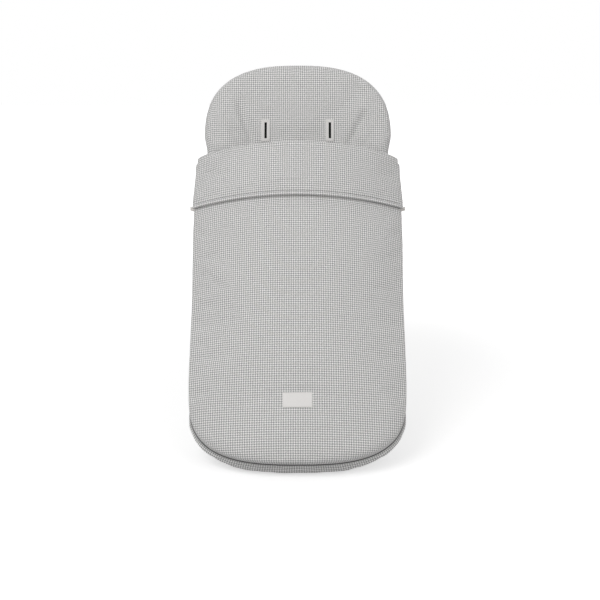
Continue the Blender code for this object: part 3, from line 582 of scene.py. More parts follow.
@dataclass(frozen=True)
class Puff:
    """A cloth simulation that fills a padded piece with air between its held seams."""

    pressure: float = 3.0
    growth: float = 0.012
    cap: float = 0.004
    frames: int = 16

    def run(self, item: bpy.types.Object, hold: np.ndarray) -> None:
        """Swell the piece and keep the result in its mesh.

        Args:
            item: The piece, with its final place in its mesh.
            hold: For each vertex, 1 where a seam holds it and 0 where it is free.
        """
        only(item)
        group = item.vertex_groups.new(name="held")
        for number, weight in enumerate(hold):
            group.add([number], float(weight), "REPLACE")
        cloth = item.modifiers.new("Puff", "CLOTH")
        cloth.settings.quality = 4
        cloth.settings.mass = 0.25
        cloth.settings.tension_stiffness = 12.0
        cloth.settings.compression_stiffness = 12.0
        cloth.settings.shear_stiffness = 6.0
        cloth.settings.bending_stiffness = 0.6
        cloth.settings.use_pressure = True
        cloth.settings.uniform_pressure_force = self.pressure
        cloth.settings.shrink_min = -self.growth
        cloth.settings.vertex_group_mass = "held"
        cloth.settings.effector_weights.gravity = 0.0
        cloth.collision_settings.use_collision = False
        cloth.point_cache.frame_start = 1
        cloth.point_cache.frame_end = self.frames
        scene = bpy.context.scene
        start = positions(item)
        for frame in range(1, self.frames + 1):
            scene.frame_set(frame)
        shaped = item.evaluated_get(bpy.context.evaluated_depsgraph_get())
        moved = positions(shaped) - start
        length = np.linalg.norm(moved, axis=1, keepdims=True)
        scale = np.minimum(1.0, self.cap / np.maximum(length, 1e-9))
        item.modifiers.remove(cloth)
        item.vertex_groups.remove(group)
        scene.frame_set(1)
        set_positions(item, start + moved * scale * (1 - hold[:, None]))


def finish_with(item: bpy.types.Object, kind: str, **settings) -> None:
    """Add a modifier with its settings and apply it."""
    only(item)
    change = item.modifiers.new(kind.title(), kind)
    for name, value in settings.items():
        setattr(change, name, value)
    bpy.ops.object.modifier_apply(modifier=change.name)


def refine(item: bpy.types.Object) -> None:
    """Subdivide a piece once, when its form is final."""
    finish_with(item, "SUBSURF", levels=1, render_levels=1, uv_smooth="PRESERVE_BOUNDARIES")


def push_out(item: bpy.types.Object, amounts: Sequence[float]) -> None:
    """Move the first vertices along their normals, each by its own amount."""
    normals = [vertex.normal.copy() for vertex in item.data.vertices]
    for vertex, normal, amount in zip(item.data.vertices, normals, amounts):
        vertex.co += normal * amount
    item.data.update()


class PaddedPiece(ABC):
    """What the padded pieces share: a grid that is built, puffed between its seams and creased."""

    columns: int
    rows: int
    plan: RingedPlan
    creases: tuple[Crease, ...] = ()
    waves: tuple[float, float, float] = (0.0, 0.0, 0.0)

    @abstractmethod
    def face(self, i: int, j: int) -> Vector:
        """Place of a grid point on the outer side."""

    @abstractmethod
    def under(self, i: int, j: int) -> Vector:
        """Place of a grid point on the inner side."""

    def cloth(self, i: int, j: int) -> Plan:
        """Place of a grid point in the cloth before sewing."""
        spot = self.plan.spot(i, j)
        return spot.cloth_x, spot.cloth_s

    def held(self, i: int, j: int) -> float:
        """1 where a seam holds a grid point of the outer side, and 0 where it is free."""
        return smooth(self.plan.spot(i, j).share * 1.4 - 0.4)

    def folds(self, spot: Spot) -> float:
        """How far creases and slow waves, of a scale, a seed and a height, lift the cloth."""
        scale, seed, height = self.waves
        wave = noise.noise(Vector((spot.x * scale, spot.s * scale, seed))) * height
        return sum(crease.lift(spot.x, spot.s) for crease in self.creases) + wave

    def lift(self, i: int, j: int, free: float) -> float:
        """How far a grid point of the outer side stands out, by the share to which it is free."""
        return self.folds(self.plan.spot(i, j)) * free

    def pad(self, name: str, puff: Puff, under_slot: int = 1) -> bpy.types.Object:
        """Build the piece, puff it between its seams, crease it and refine it.

        Args:
            name: The piece's name.
            puff: The air that fills it.
            under_slot: The material slot of its inner side.

        Returns:
            The padded piece, not yet dressed.
        """
        item = GridBody(
            name, self.columns, self.rows, self.face, self.under, self.cloth, under_slot
        ).build()
        cells = [(i, j) for j in range(self.rows + 1) for i in range(self.columns + 1)]
        holds = [self.held(i, j) for i, j in cells]
        puff.run(item, np.array(holds + [1.0] * len(cells)))
        push_out(item, [self.lift(i, j, 1 - hold) for (i, j), hold in zip(cells, holds)])
        refine(item)
        return item


class Graph:
    """Short ways to write a node tree."""

    def __init__(self, tree: bpy.types.NodeTree) -> None:
        """Take the tree to write in."""
        self.tree = tree

    def add(self, kind: str, **settings) -> bpy.types.Node:
        """Add a node with its settings."""
        node = self.tree.nodes.new(kind)
        for name, value in settings.items():
            setattr(node, name, value)
        return node

    def put(self, socket: Socket, value: Socket | float | Colour) -> None:
        """Link a socket into an input, or set the input's value."""
        if isinstance(value, Socket):
            self.tree.links.new(value, socket)
        else:
            socket.default_value = value

    def math(self, operation: str, *values: Socket | float) -> Socket:
        """A Math node over sockets and numbers."""
        node = self.add("ShaderNodeMath", operation=operation)
        for socket, value in zip(node.inputs, values):
            self.put(socket, value)
        return node.outputs[0]

    def mix(self, share: Socket, first: Socket | Colour, second: Socket | Colour) -> Socket:
        """A colour between two."""
        node = self.add("ShaderNodeMix", data_type="RGBA")
        self.put(node.inputs[0], share)
        self.put(node.inputs[6], first)
        self.put(node.inputs[7], second)
        return node.outputs[2]

    def clamp(self, value: Socket) -> Socket:
        """A value kept between 0 and 1."""
        node = self.add("ShaderNodeClamp")
        self.put(node.inputs[0], value)
        return node.outputs[0]

    def noise(self, vector: Socket, scale: float, detail: float = 2.0) -> Socket:
        """A noise value over a vector."""
        node = self.add("ShaderNodeTexNoise")
        self.put(node.inputs["Vector"], vector)
        node.inputs["Scale"].default_value = scale
        node.inputs["Detail"].default_value = detail
        return node.outputs["Fac"]

    def waves(self, cloth: Socket, period: Socket | float) -> list[Socket]:
        """Sine waves of a period across the cloth and along it."""
        parts = self.add("ShaderNodeSeparateXYZ")
        self.put(parts.inputs[0], cloth)
        turns = [self.math("DIVIDE", parts.outputs[axis], period) for axis in (0, 1)]
        return [self.math("SINE", self.math("MULTIPLY", turn, math.tau)) for turn in turns]

    def group(self, tree: bpy.types.NodeTree, **values: Socket | float | Colour) -> Sockets:
        """Place a shared effect with its values, and give its output sockets by name."""
        node = self.add("ShaderNodeGroup", node_tree=tree)
        for name, value in values.items():
            self.put(node.inputs[name.replace("_", " ")], value)
        return node.outputs

    def seen(self) -> Socket:
        """1 for the rays that show the backdrop: from the camera, in gloss and through glass."""
        path = self.add("ShaderNodeLightPath")
        shown = self.math("MAXIMUM", path.outputs["Is Camera Ray"], path.outputs["Is Glossy Ray"])
        return self.math("MAXIMUM", shown, path.outputs["Is Transmission Ray"])


def new_material(name: str) -> tuple[bpy.types.Material, Graph, bpy.types.Node]:
    """A new material, its graph and its main shader."""
    made = bpy.data.materials.new(name)
    made.use_nodes = True
    return made, Graph(made.node_tree), made.node_tree.nodes["Principled BSDF"]


class EffectGroups:
    """The effects that several materials share, each a node group that is built once."""

    def start(
        self, name: str, inputs: dict[str, str], outputs: dict[str, str]
    ) -> tuple[Graph, Sockets, Sockets]:
        """Begin a group with named sockets.

        Args:
            name: The group's name.
            inputs: Socket kinds by name.
            outputs: Socket kinds by name.

        Returns:
            The graph, the input sockets and the output sockets by name.
        """
        tree = bpy.data.node_groups.new(name, "ShaderNodeTree")
        for way, sockets in (("INPUT", inputs), ("OUTPUT", outputs)):
            for label, kind in sockets.items():
                tree.interface.new_socket(label, in_out=way, socket_type="NodeSocket" + kind)
        graph = Graph(tree)
        source = graph.add("NodeGroupInput")
        target = graph.add("NodeGroupOutput")
        return graph, source.outputs, target.inputs

    @cache
    def weave(self) -> bpy.types.NodeTree:
        """Plain weave: the yarn on top at each crossing, and its height."""
        graph, source, target = self.start(
            "plain_weave",
            {"Cloth": "Vector", "Pitch": "Float"},
            {"Warp On Top": "Float", "Height": "Float"},
        )
        waves = graph.waves(source["Cloth"], source["Pitch"])
        product = graph.math("MULTIPLY", waves[0], waves[1])
        graph.put(target["Warp On Top"], graph.clamp(graph.math("MULTIPLY_ADD", product, 1.6, 0.5)))
        graph.put(target["Height"], graph.math("ABSOLUTE", product))
        return graph.tree

    @cache
    def check(self) -> bpy.types.NodeTree:
        """Micro check: stripes of two yarn colours that cross in a plain weave."""
        weave = self.weave()
        graph, source, target = self.start(
            "micro_check",
            {
                "Cloth": "Vector",
                "Period": "Float",
                "Pitch": "Float",
                "Light Yarn": "Color",
                "Dark Yarn": "Color",
            },
            {"Color": "Color", "Height": "Float"},
        )
        woven = graph.group(weave, Cloth=source["Cloth"], Pitch=source["Pitch"])
        stripes = [
            graph.clamp(graph.math("MULTIPLY_ADD", wave, 4.0, 0.5))
            for wave in graph.waves(source["Cloth"], source["Period"])
        ]
        top = woven["Warp On Top"]
        warp = graph.math("MULTIPLY", stripes[0], top)
        weft = graph.math("MULTIPLY", stripes[1], graph.math("SUBTRACT", 1.0, top))
        dark = graph.math("ADD", warp, weft)
        graph.put(target["Color"], graph.mix(dark, source["Light Yarn"], source["Dark Yarn"]))
        graph.put(target["Height"], woven["Height"])
        return graph.tree

    @cache
    def mottle(self) -> bpy.types.NodeTree:
        """Slow changes of tone: a colour that is a little lighter and darker in soft patches."""
        graph, source, target = self.start(
            "soft_mottle",
            {"Color": "Color", "Amount": "Float"},
            {"Color": "Color", "Patch": "Float"},
        )
        place = graph.add("ShaderNodeTexCoord").outputs["Object"]
        broad = graph.noise(place, 9.0, 3.0)
        fine = graph.noise(place, 240.0, 2.0)
        both = graph.math("MULTIPLY_ADD", fine, 0.35, graph.math("MULTIPLY", broad, 0.65))
        swing = graph.math("MULTIPLY", graph.math("SUBTRACT", both, 0.5), source["Amount"])
        scale = graph.add("ShaderNodeVectorMath", operation="SCALE")
        graph.put(scale.inputs[0], source["Color"])
        graph.put(scale.inputs["Scale"], graph.math("ADD", swing, 1.0))
        graph.put(target["Color"], scale.outputs[0])
        graph.put(target["Patch"], both)
        return graph.tree


GROUPS = EffectGroups()


@dataclass(frozen=True)
class Finish:
    """A cloth finish: two yarn colours, how the pattern repeats, and how rough its face is."""

    name: str
    light: Colour
    dark: Colour
    period: float = SIZES.check
    pitch: float = 0.0006
    bump: float = 0.00012
    roughness: float = 0.85
    mottle: float = 0.10
    sheen: float = 0.15
    pile: float = 0.0
    dots: float = 0.0

    def rubber_dots(
        self, graph: Graph, cloth: Socket, colour: Socket, height: Socket
    ) -> tuple[Socket, Socket]:
        """Raised dark dots in staggered rows.

        Args:
            graph: The material's graph.
            cloth: The cloth map.
            colour: The colour between the dots.
            height: The height between the dots.

        Returns:
            The colour and the height with the dots.
        """
        waves = graph.waves(cloth, self.dots)
        both = graph.math("MULTIPLY", waves[0], waves[1])
        mask = graph.clamp(graph.math("MULTIPLY_ADD", both, 7.0, -3.6))
        return graph.mix(mask, colour, grey(0.07)), graph.math("MULTIPLY_ADD", mask, 1.6, height)

    def material(self) -> bpy.types.Material:
        """The material that the scene holds by the finish's name, or else a new one."""
        known = bpy.data.materials.get(self.name)
        if known:
            return known
        made, graph, shader = new_material(self.name)
        cloth = graph.add("ShaderNodeUVMap", uv_map="cloth").outputs[0]
        pattern = graph.group(
            GROUPS.check(),
            Cloth=cloth,
            Period=self.period,
            Pitch=self.pitch,
            Light_Yarn=self.light,
            Dark_Yarn=self.dark,
        )
        toned = graph.group(GROUPS.mottle(), Color=pattern["Color"], Amount=self.mottle)
        colour, height = toned["Color"], pattern["Height"]
        if self.pile:
            place = graph.add("ShaderNodeTexCoord").outputs["Object"]
            height = graph.noise(place, self.pile, 4.0)
        if self.dots:
            colour, height = self.rubber_dots(graph, cloth, colour, height)
        graph.put(shader.inputs["Base Color"], colour)
        bump = graph.add("ShaderNodeBump")
        bump.inputs["Strength"].default_value = 1.0
        bump.inputs["Distance"].default_value = self.bump
        graph.put(bump.inputs["Height"], height)
        graph.put(shader.inputs["Normal"], bump.outputs[0])
        rough = graph.math("MULTIPLY_ADD", toned["Patch"], 0.08, self.roughness - 0.04)
        graph.put(shader.inputs["Roughness"], rough)
        shader.inputs["Sheen Weight"].default_value = self.sheen
        shader.inputs["Sheen Roughness"].default_value = 0.5
        shader.inputs["Specular IOR Level"].default_value = 0.25
        return made


@dataclass(frozen=True)
class HardFinish:
    """A metal or plastic finish with fine handling marks."""

    name: str
    colour: Colour
    metallic: float
    roughness: float

    def material(self) -> bpy.types.Material:
        """The material that the scene holds by the finish's name, or else a new one."""
        known = bpy.data.materials.get(self.name)
        if known:
            return known
        made, graph, shader = new_material(self.name)
        toned = graph.group(GROUPS.mottle(), Color=self.colour, Amount=0.12)
        graph.put(shader.inputs["Base Color"], toned["Color"])
        shader.inputs["Metallic"].default_value = self.metallic
        rough = graph.math("MULTIPLY_ADD", toned["Patch"], 0.2, self.roughness - 0.1)
        graph.put(shader.inputs["Roughness"], rough)
        return made


def grey(value: float, warm: float = 0.0) -> Colour:
    """A grey, with a little more red and less blue where it is warm."""
    return (value * (1 + warm), value, value * (1 - warm), 1.0)


CHECK = Finish("check_cloth", grey(0.88, 0.011), grey(0.32, 0.003), sheen=0.25)
FLEECE = Finish("fleece", grey(0.80, 0.03), grey(0.76, 0.03), bump=0.0012, pile=900.0, sheen=0.5)
WELT = Finish("welt_cloth", grey(0.80, 0.02), grey(0.72, 0.02), period=0.0016, pitch=0.0008)
# Near-black finish of painted shade inside the harness slots: on the lips deep in each slot and on
# the cut walls.
SLIT_SHADE = Finish("slit_facing", grey(0.030), grey(0.028), period=0.002, mottle=0.0, sheen=0.0)
LABEL = Finish("label_cloth", grey(0.86, 0.022), grey(0.80, 0.022), period=0.0008, pitch=0.0004)
# Piping cloth made near-black: its colour paints the shadow line of the foot seam.
PIPING_SHADE = Finish("piping_shade_cloth", grey(0.20, 0.008), grey(0.16, 0.008), period=0.0016)
ELASTIC = Finish("ribbed_elastic", grey(0.68, 0.02), grey(0.50, 0.02), period=0.0016, pitch=0.0008)
TAPE = Finish("zip_twill", grey(0.74, 0.035), grey(0.66, 0.035), period=0.0012, pitch=0.0006)
BASE = Finish("nonslip_base", grey(0.30), grey(0.24), period=0.0016, bump=0.0006, dots=0.012)
THREAD = Finish("sewing_thread", grey(0.72, 0.02), grey(0.62, 0.02), period=0.0006)
# Real hem stitches in a dark tone that paints the shade of the hem's sewn groove.
HEM_SHADE_THREAD = Finish("hem_shade_thread", grey(0.30, 0.01), grey(0.26, 0.01), period=0.0006)
COIL = HardFinish("zip_coil", grey(0.58, 0.03), 0.0, 0.42)
NICKEL = HardFinish("nickel", grey(0.58, 0.01), 1.0, 0.32)


def dress(item: bpy.types.Object, *finishes: Finish | HardFinish) -> None:
    """Give a piece its materials in order, and keep which face has which."""
    for number, finish in enumerate(finishes):
        if number < len(item.data.materials):
            item.data.materials[number] = finish.material()
        else:
            item.data.materials.append(finish.material())


@cache
def mat_station(s: float) -> float:
    """Distance along the mat whose rear face lies level with a place up the front panel."""
    low, high = -PATH.thickness, PATH.length
    for _ in range(40):
        middle = (low + high) / 2
        if (mat_point(0.0, middle, PATH.thickness) - TOE_POINT).dot(FRONT_UP) < s:
            low = middle
        else:
            high = middle
    return (low + high) / 2


def placed(item: bpy.types.Object, frame: Matrix) -> bpy.types.Object:
    """Put a piece modelled at the origin in its place, in its mesh, its faces still outward."""
    whole = frame @ item.matrix_world
    item.data.transform(whole)
    if whole.determinant() < 0:
        item.data.flip_normals()
    item.matrix_world = Matrix.Identity(4)
    item.data.update()
    return item


def axes_frame(origin: Vector, x_axis: Vector, y_axis: Vector, z_axis: Vector) -> Matrix:
    """A placing matrix from an origin and three axes."""
    frame = Matrix((x_axis, y_axis, z_axis)).transposed().to_4x4()
    frame.translation = origin
    return frame


def map_cloth(item: bpy.types.Object, across: int = 0, along: int = 1) -> None:
    """Give a piece at the origin a cloth map from two of its own axes, in metres."""
    mesh = item.data
    for layer in list(mesh.uv_layers):
        mesh.uv_layers.remove(layer)
    layer = mesh.uv_layers.new(name="cloth")
    for loop in mesh.loops:
        place = mesh.vertices[loop.vertex_index].co
        layer.data[loop.index].uv = (place[across], place[along])


def soften(item: bpy.types.Object) -> bpy.types.Object:
    """Shade a piece smooth over its soft edges."""
    only(item)
    bpy.ops.object.shade_smooth_by_angle(angle=math.radians(40))
    return item


def joined(*items: bpy.types.Object) -> bpy.types.Object:
    """Join pieces into the first of them."""
    bpy.ops.object.select_all(action="DESELECT")
    for item in items:
        item.select_set(True)
    bpy.context.view_layer.objects.active = items[0]
    bpy.ops.object.join()
    return items[0]


def named(name: str) -> bpy.types.Object:
    """Name the object that an operator has just added."""
    item = bpy.context.object
    item.name = name
    item.data.name = name
    return item


def flat_piece(
    name: str, columns: int, rows: int, move: Callable[[float, float], Sequence[float]]
) -> bpy.types.Object:
    """Model a piece from a unit grid whose points a function places.

    Args:
        name: The piece's name.
        columns: Cells across.
        rows: Cells along.
        move: Gives a point's place for its place in the unit grid.

    Returns:
        The piece at the origin.
    """
    bpy.ops.mesh.primitive_grid_add(x_subdivisions=columns, y_subdivisions=rows, size=1.0)
    item = named(name)
    for vertex in item.data.vertices:
        vertex.co = move(vertex.co.x, vertex.co.y)
    return item


def bend(item: bpy.types.Object, lower: Body, upper: Body, span: Plan) -> None:
    """Bake a piece's placing into its mesh."""
    start, end = (front_point(0.0, s, 0.0) for s in span)
    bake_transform(item)
    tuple(start)
    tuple(end)


def report(
    item: bpy.types.Object, body: Optional[Body], nodes: Sequence[str] = ()
) -> None:
    """Bind a finished piece to the frame.

    Args:
        item: The piece, in place.
        body: The body that it rides on, or none, which leaves it unattached.
        nodes: The CAD nodes that it stands for.
    """
    if body:
        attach(item, body.value)
    if nodes:
        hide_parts(*nodes)
    LOG.info("%s: %d faces", item.name, len(item.data.polygons))


def round_cord(
    name: str, points: Sequence[Vector], radius: float, resolution: int
) -> bpy.types.Object:
    """Sweep a round section along a line.

    Args:
        name: The piece's name.
        points: The line's points.
        radius: The section's radius.
        resolution: How finely the section is divided.

    Returns:
        The cord as a closed mesh.
    """
    curve = bpy.data.curves.new(name, "CURVE")
    curve.dimensions = "3D"
    curve.bevel_depth = radius
    curve.bevel_resolution = resolution
    curve.use_fill_caps = True
    spline = curve.splines.new("POLY")
    spline.points.add(len(points) - 1)
    for point, place in zip(spline.points, points):
        point.co = (*place, 1.0)
    only(linked(name, curve))
    bpy.ops.object.convert(target="MESH")
    return only(bpy.context.object)


@dataclass(frozen=True)
class Stitching:
    """A row of sewn stitches along a line on cloth."""

    pitch: float = 0.0030
    length: float = 0.0022
    radius: float = 0.00028

    def one(self) -> tuple[np.ndarray, list[tuple[int, ...]]]:
        """Model one stitch along X and give its points and faces."""
        bpy.ops.mesh.primitive_uv_sphere_add(segments=6, ring_count=4, radius=1.0)
        item = bpy.context.object
        half = self.length / 2
        places = positions(item)[:, [2, 0, 1]] * np.array([half, self.radius, self.radius])
        faces = [tuple(face.vertices) for face in item.data.polygons]
        mesh = item.data
        bpy.data.objects.remove(item)
        bpy.data.meshes.remove(mesh)
        return places, faces

    def sew(self, name: str, line: Sequence[tuple[Vector, Vector]]) -> bpy.types.Object:
        """Sew stitches along a line of places and normals.

        Args:
            name: The piece's name.
            line: Places on the cloth, each with the cloth's normal.

        Returns:
            The stitches as one object.
        """
        shape, faces = self.one()
        points = np.array([place for place, _ in line])
        normals = np.array([normal for _, normal in line])
        steps = np.linalg.norm(np.diff(points, axis=0), axis=1)
        reach = np.concatenate([[0.0], np.cumsum(steps)])
        count = max(int(reach[-1] / self.pitch), 1)
        all_places, all_faces = [], []
        for number in range(count):
            at = (number + 0.5) * reach[-1] / count
            ends = []
            for distance in (at - self.length / 2, at, at + self.length / 2):
                ends.append([np.interp(distance, reach, points[:, axis]) for axis in range(3)])
            normal = Vector([np.interp(at, reach, normals[:, axis]) for axis in range(3)])
            along = (Vector(ends[2]) - Vector(ends[0])).normalized()
            side = normal.cross(along).normalized()
            up = along.cross(side)
            turned = np.array([along, side, up])
            offset = len(all_places) * len(shape)
            all_places.append(shape @ turned + np.array(ends[1]))
            all_faces += [tuple(corner + offset for corner in face) for face in faces]
        mesh = bpy.data.meshes.new(name)
        mesh.from_pydata(np.concatenate(all_places).tolist(), [], all_faces)
        mesh.shade_smooth()
        item = linked(name, mesh)
        map_cloth(item, 0, 2)
        dress(item, THREAD)
        return item


@dataclass(frozen=True)
class HarnessSlot:
    """A welted slot through the mat: its place and whether it lies across."""

    name: str
    x: float
    distance: float
    across: bool = False
    width: float = 0.006
    length: float = 0.038
    welt: float = 0.0062
    thickness: float = 0.0018
    lap: float = 0.0004
    room: float = 0.0006
    seam_share: float = 0.55
    lip_gap: float = 0.00001
    lip_level: float = -0.009
    lip_height: float = 0.004

    def frame(self) -> Matrix:
        """Frame with X over the slot's width, Y along it and Z out of the mat's front."""
        point, front = PATH.at(self.distance)
        along = front.cross(X_AXIS)
        origin = point + X_AXIS * self.x
        if self.across:
            return axes_frame(origin, -along, X_AXIS, front)
        return axes_frame(origin, X_AXIS, along, front)

    def lean(self) -> float:
        """Sideways run of the slot per metre through the mat, as its strap hangs straight down."""
        if not self.across:
            return 0.0
        upright = self.frame().to_3x3().inverted() @ Vector((0.0, 0.0, 1.0))
        return upright.x / upright.z

    def near(self, x: float, distance: float) -> float:
        """1 on and beside the slot, falling to 0 a little further out."""
        a, b = abs(x - self.x), abs(distance - self.distance)
        if self.across:
            a, b = b, a
        away = max(a - self.width / 2 - self.welt, b - self.length / 2 - self.welt, 0.0)
        return 1.0 - smooth((away - 0.002) / 0.018)

    def cutter(self) -> bpy.types.Object:
        """A hidden block the size of the cut through the mat, in the near-black finish that the cut
        walls take on as painted shade.
        """
        bpy.ops.mesh.primitive_cube_add(size=1.0)
        item = named(self.name + "_cut")
        depth = PATH.thickness * 2
        grow = 2 * self.room
        lean = self.lean()
        for vertex in item.data.vertices:
            x, y, z = vertex.co
            place = Vector((x * (self.width + grow), y * (self.length + grow), (z - 0.25) * depth))
            vertex.co = place + Vector((lean * place.z, 0.0, 0.0))
        placed(item, self.frame())
        dress(item, SLIT_SHADE)
        return item

    def build_welt(self) -> bpy.types.Object:
        """The folded welt round the slot: four strips that meet in mitres."""
        bpy.ops.mesh.primitive_plane_add(size=1.0)
        item = named(self.name.replace("welt", "frame"))
        wide, high = self.width + 2 * self.welt, self.length + 2 * self.welt
        for vertex in item.data.vertices:
            vertex.co = (vertex.co.x * wide, vertex.co.y * high, 0.0)
        only(item)
        bpy.ops.object.mode_set(mode="EDIT")
        bpy.ops.mesh.select_all(action="SELECT")
        bpy.ops.mesh.inset(thickness=self.welt + self.lap, depth=0.0)
        bpy.ops.mesh.delete(type="FACE")
        bpy.ops.mesh.select_all(action="SELECT")
        bpy.ops.mesh.edge_split(type="EDGE")
        bpy.ops.mesh.subdivide(number_cuts=3)
        bpy.ops.object.mode_set(mode="OBJECT")
        finish_with(item, "SOLIDIFY", thickness=self.thickness, offset=1.0)
        finish_with(item, "BEVEL", width=0.0006, segments=3, limit_method="ANGLE")
        map_cloth(item)
        soften(item)
        placed(item, self.frame() @ Matrix.Translation((0.0, 0.0, SIZES.clearance)))
        dress(item, WELT)
        return item

    def build_facing(self) -> bpy.types.Object:
        """Two soft lips inside the slot, which a strap pushes apart, near-black as painted shade
        deep in the slot.
        """
        lips = []
        for sign in (-1, 1):
            bpy.ops.mesh.primitive_cube_add(size=1.0)
            lip = bpy.context.object
            for vertex in lip.data.vertices:
                x, y, z = vertex.co
                across = sign * self.lip_gap + (sign / 2 + x) * self.width / 2
                depth = self.lip_level + z * self.lip_height
                shift = self.lean() * depth
                vertex.co = (across + shift, y * (self.length + 0.0004), depth)
            lips.append(lip)
        joined(*lips)
        item = named(self.name.replace("welt", "facing"))
        finish_with(item, "BEVEL", width=0.0005, segments=3, limit_method="ANGLE")
        map_cloth(item)
        soften(item)
        placed(item, self.frame())
        dress(item, SLIT_SHADE)
        return item

    def seam(self) -> list[tuple[Vector, Vector]]:
        """The line of stitches round the welt."""
        out = self.welt * self.seam_share
        a, b = self.width / 2 + out, self.length / 2 + out
        corners = ((-a, -b), (a, -b), (a, b), (-a, b), (-a, -b))
        frame = self.frame()
        normal = frame.to_3x3() @ Vector((0.0, 0.0, 1.0))
        lift = SIZES.clearance + self.thickness
        return [(frame @ Vector((x, y, lift)), normal) for x, y in corners]


@dataclass
class Mat(PaddedPiece):
    """The mat: a pad with an arched head, a non-slip base under it, and five welted slots."""

    roll: float = 0.020
    edge_depth: float = 0.0197
    under_depth: float = 0.0219
    base_depth: float = 0.0225
    crown: float = 0.005
    head_flare: float = 0.045
    flare_start: float = 0.030
    shoulder_height: float = 0.2377
    shoulder_out: float = 0.0723
    waist_height: float = 0.072
    waist_out: float = 0.125
    crotch_share: float = 0.42
    columns: int = 56
    rows: int = 118
    ring: int = 6
    base_columns: int = 40
    base_rows: int = 84
    base_ring: int = 3
    creases: tuple[Crease, ...] = (
        Crease((-0.134, 0.856), (-0.098, 0.752), 0.0150, 0.011),
        Crease((0.157, 0.836), (0.115, 0.752), 0.0140, 0.011),
        Crease((-0.152, 0.800), (-0.118, 0.745), 0.0085, 0.010),
        Crease((0.170, 0.790), (0.146, 0.748), 0.0032, 0.010),
        Crease((-0.080, 0.880), (0.095, 0.884), 0.0014, 0.016),
        Crease((-0.06, 0.47), (0.07, 0.468), 0.0030, 0.014),
        Crease((-0.10, 0.36), (0.11, 0.362), 0.0040, 0.012),
        Crease((-0.09, 0.235), (0.09, 0.232), 0.0032, 0.012),
    )
    waves: tuple[float, float, float] = (14.0, 0.3, 0.0012)

    def __post_init__(self) -> None:
        """Find where the mat meets the front's fold and curve, and lay out pad and slots."""
        self.fold = mat_station(SIZES.front_length)
        self.foot_reach = mat_station(SIZES.foot_curve)
        shoulder = PATH.mount + self.shoulder_height
        waist = PATH.mount - PATH.mount_above_crease + self.waist_height
        seat = PATH.knee + self.crotch_share * (PATH.crease - PATH.runs[3][0] - PATH.knee)
        self.slots = (
            HarnessSlot("shoulder_welt_left", -self.shoulder_out, shoulder),
            HarnessSlot("shoulder_welt_right", self.shoulder_out, shoulder),
            HarnessSlot("waist_welt_left", -self.waist_out, waist),
            HarnessSlot("waist_welt_right", self.waist_out, waist),
            HarnessSlot("crotch_welt", 0.0, seat, across=True),
        )
        self.plan = RingedPlan(
            self.outline(self.crown), self.roll, self.edge_depth, self.columns, self.rows, self.ring
        )

    def width(self, s: float) -> float:
        """The mat's half width: narrow between the gussets and wider toward the head."""
        rise = smooth((s - self.fold - self.flare_start) / self.head_flare)
        return SIZES.mat_half + (SIZES.head_half - SIZES.mat_half) * rise

    def outline(self, crown: float = 0.0) -> Outline:
        """The outline along the bent length, with a fuller crown where the padding swells it."""
        return Outline(
            self.width,
            0.0,
            PATH.length + crown,
            RoundEnd(0.0, self.foot_reach, SIZES.foot_power),
            RoundEnd(PATH.length + crown, SIZES.head_arch, SIZES.head_power),
        )

    def face(self, i: int, j: int) -> Vector:
        """Place on the cover."""
        spot = self.plan.spot(i, j)
        return mat_point(spot.x, spot.s, spot.fall)

    def under(self, i: int, j: int) -> Vector:
        """Place on the pad's flat rear."""
        spot = self.plan.spot(i, j, under=True)
        return mat_point(spot.x, spot.s, self.under_depth)

    def held(self, i: int, j: int) -> float:
        """1 where the edge's seam or a slot holds the cover."""
        spot = self.plan.spot(i, j)
        slots = max(slot.near(spot.x, spot.s) for slot in self.slots)
        return max(super().held(i, j), slots)

    def build_pad(self) -> bpy.types.Object:
        """The padded cover with its filling."""
        item = self.pad("mat_pad", Puff(pressure=3.0, growth=0.015, cap=0.0045), 0)
        dress(item, CHECK)
        self.cut_slots(item)
        report(item, Body.MAT, ("mat_cover", "mat_wadding"))
        return item

    def build_base(self, pad: bpy.types.Object) -> None:
        """The non-slip sheet on the mat's rear."""
        columns, rows = self.base_columns, self.base_rows
        plan = RingedPlan(self.outline(), self.roll, 0.0, columns, rows, self.base_ring)

        def at(i: int, j: int, depth: float) -> Vector:
            """Place of a grid point at a depth."""
            spot = plan.spot(i, j, under=True)
            return mat_point(spot.x, spot.s, depth)

        def cloth(i: int, j: int) -> Plan:
            """Place in the cloth."""
            spot = plan.spot(i, j, under=True)
            return spot.x, spot.s

        faces = (partial(at, depth=depth) for depth in (self.base_depth, PATH.thickness))
        item = GridBody("mat_base", columns, rows, *faces, cloth, 0).build()
        dress(item, BASE)
        self.cut_slots(item)
        flat = (2 * SIZES.head_half, PATH.length)
        report(item, Body.MAT, ("mat_backing",))

    def sew_base(self) -> None:
        """The sewn seam across the base, under the pocket's mouth."""
        place = PATH.length - HeadPocket.depth - 0.0055
        half = self.width(place) - 0.006
        rear = -PATH.at(place)[1]
        line = [
            (mat_point(half * step / 20, place, PATH.thickness + 0.0002), rear)
            for step in range(-20, 21)
        ]
        sewn = Stitching(pitch=0.0036, length=0.0028, radius=0.00028).sew("base_stitches", line)
        report(sewn, Body.MAT)

    def cut_slots(self, item: bpy.types.Object) -> None:
        """Cut the harness slots through a layer; the cut walls take the cutter's near-black finish,
        painted shade in the slots.
        """
        for slot in self.slots:
            cutter = slot.cutter()
            finish_with(
                item,
                "BOOLEAN",
                operation="DIFFERENCE",
                solver="EXACT",
                material_mode="TRANSFER",
                object=cutter,
            )
            bpy.data.objects.remove(cutter)

    def build(self) -> None:
        """Build the mat and everything sewn on it."""
        self.build_base(self.build_pad())
        self.sew_base()
        stitching = Stitching(pitch=0.0026, length=0.0019, radius=0.00022)
        for slot in self.slots:
            report(slot.build_welt(), Body.MAT, (slot.name,))
            report(slot.build_facing(), Body.MAT)
            sewn = stitching.sew(slot.name + "_stitches", slot.seam())
            report(sewn, Body.MAT)


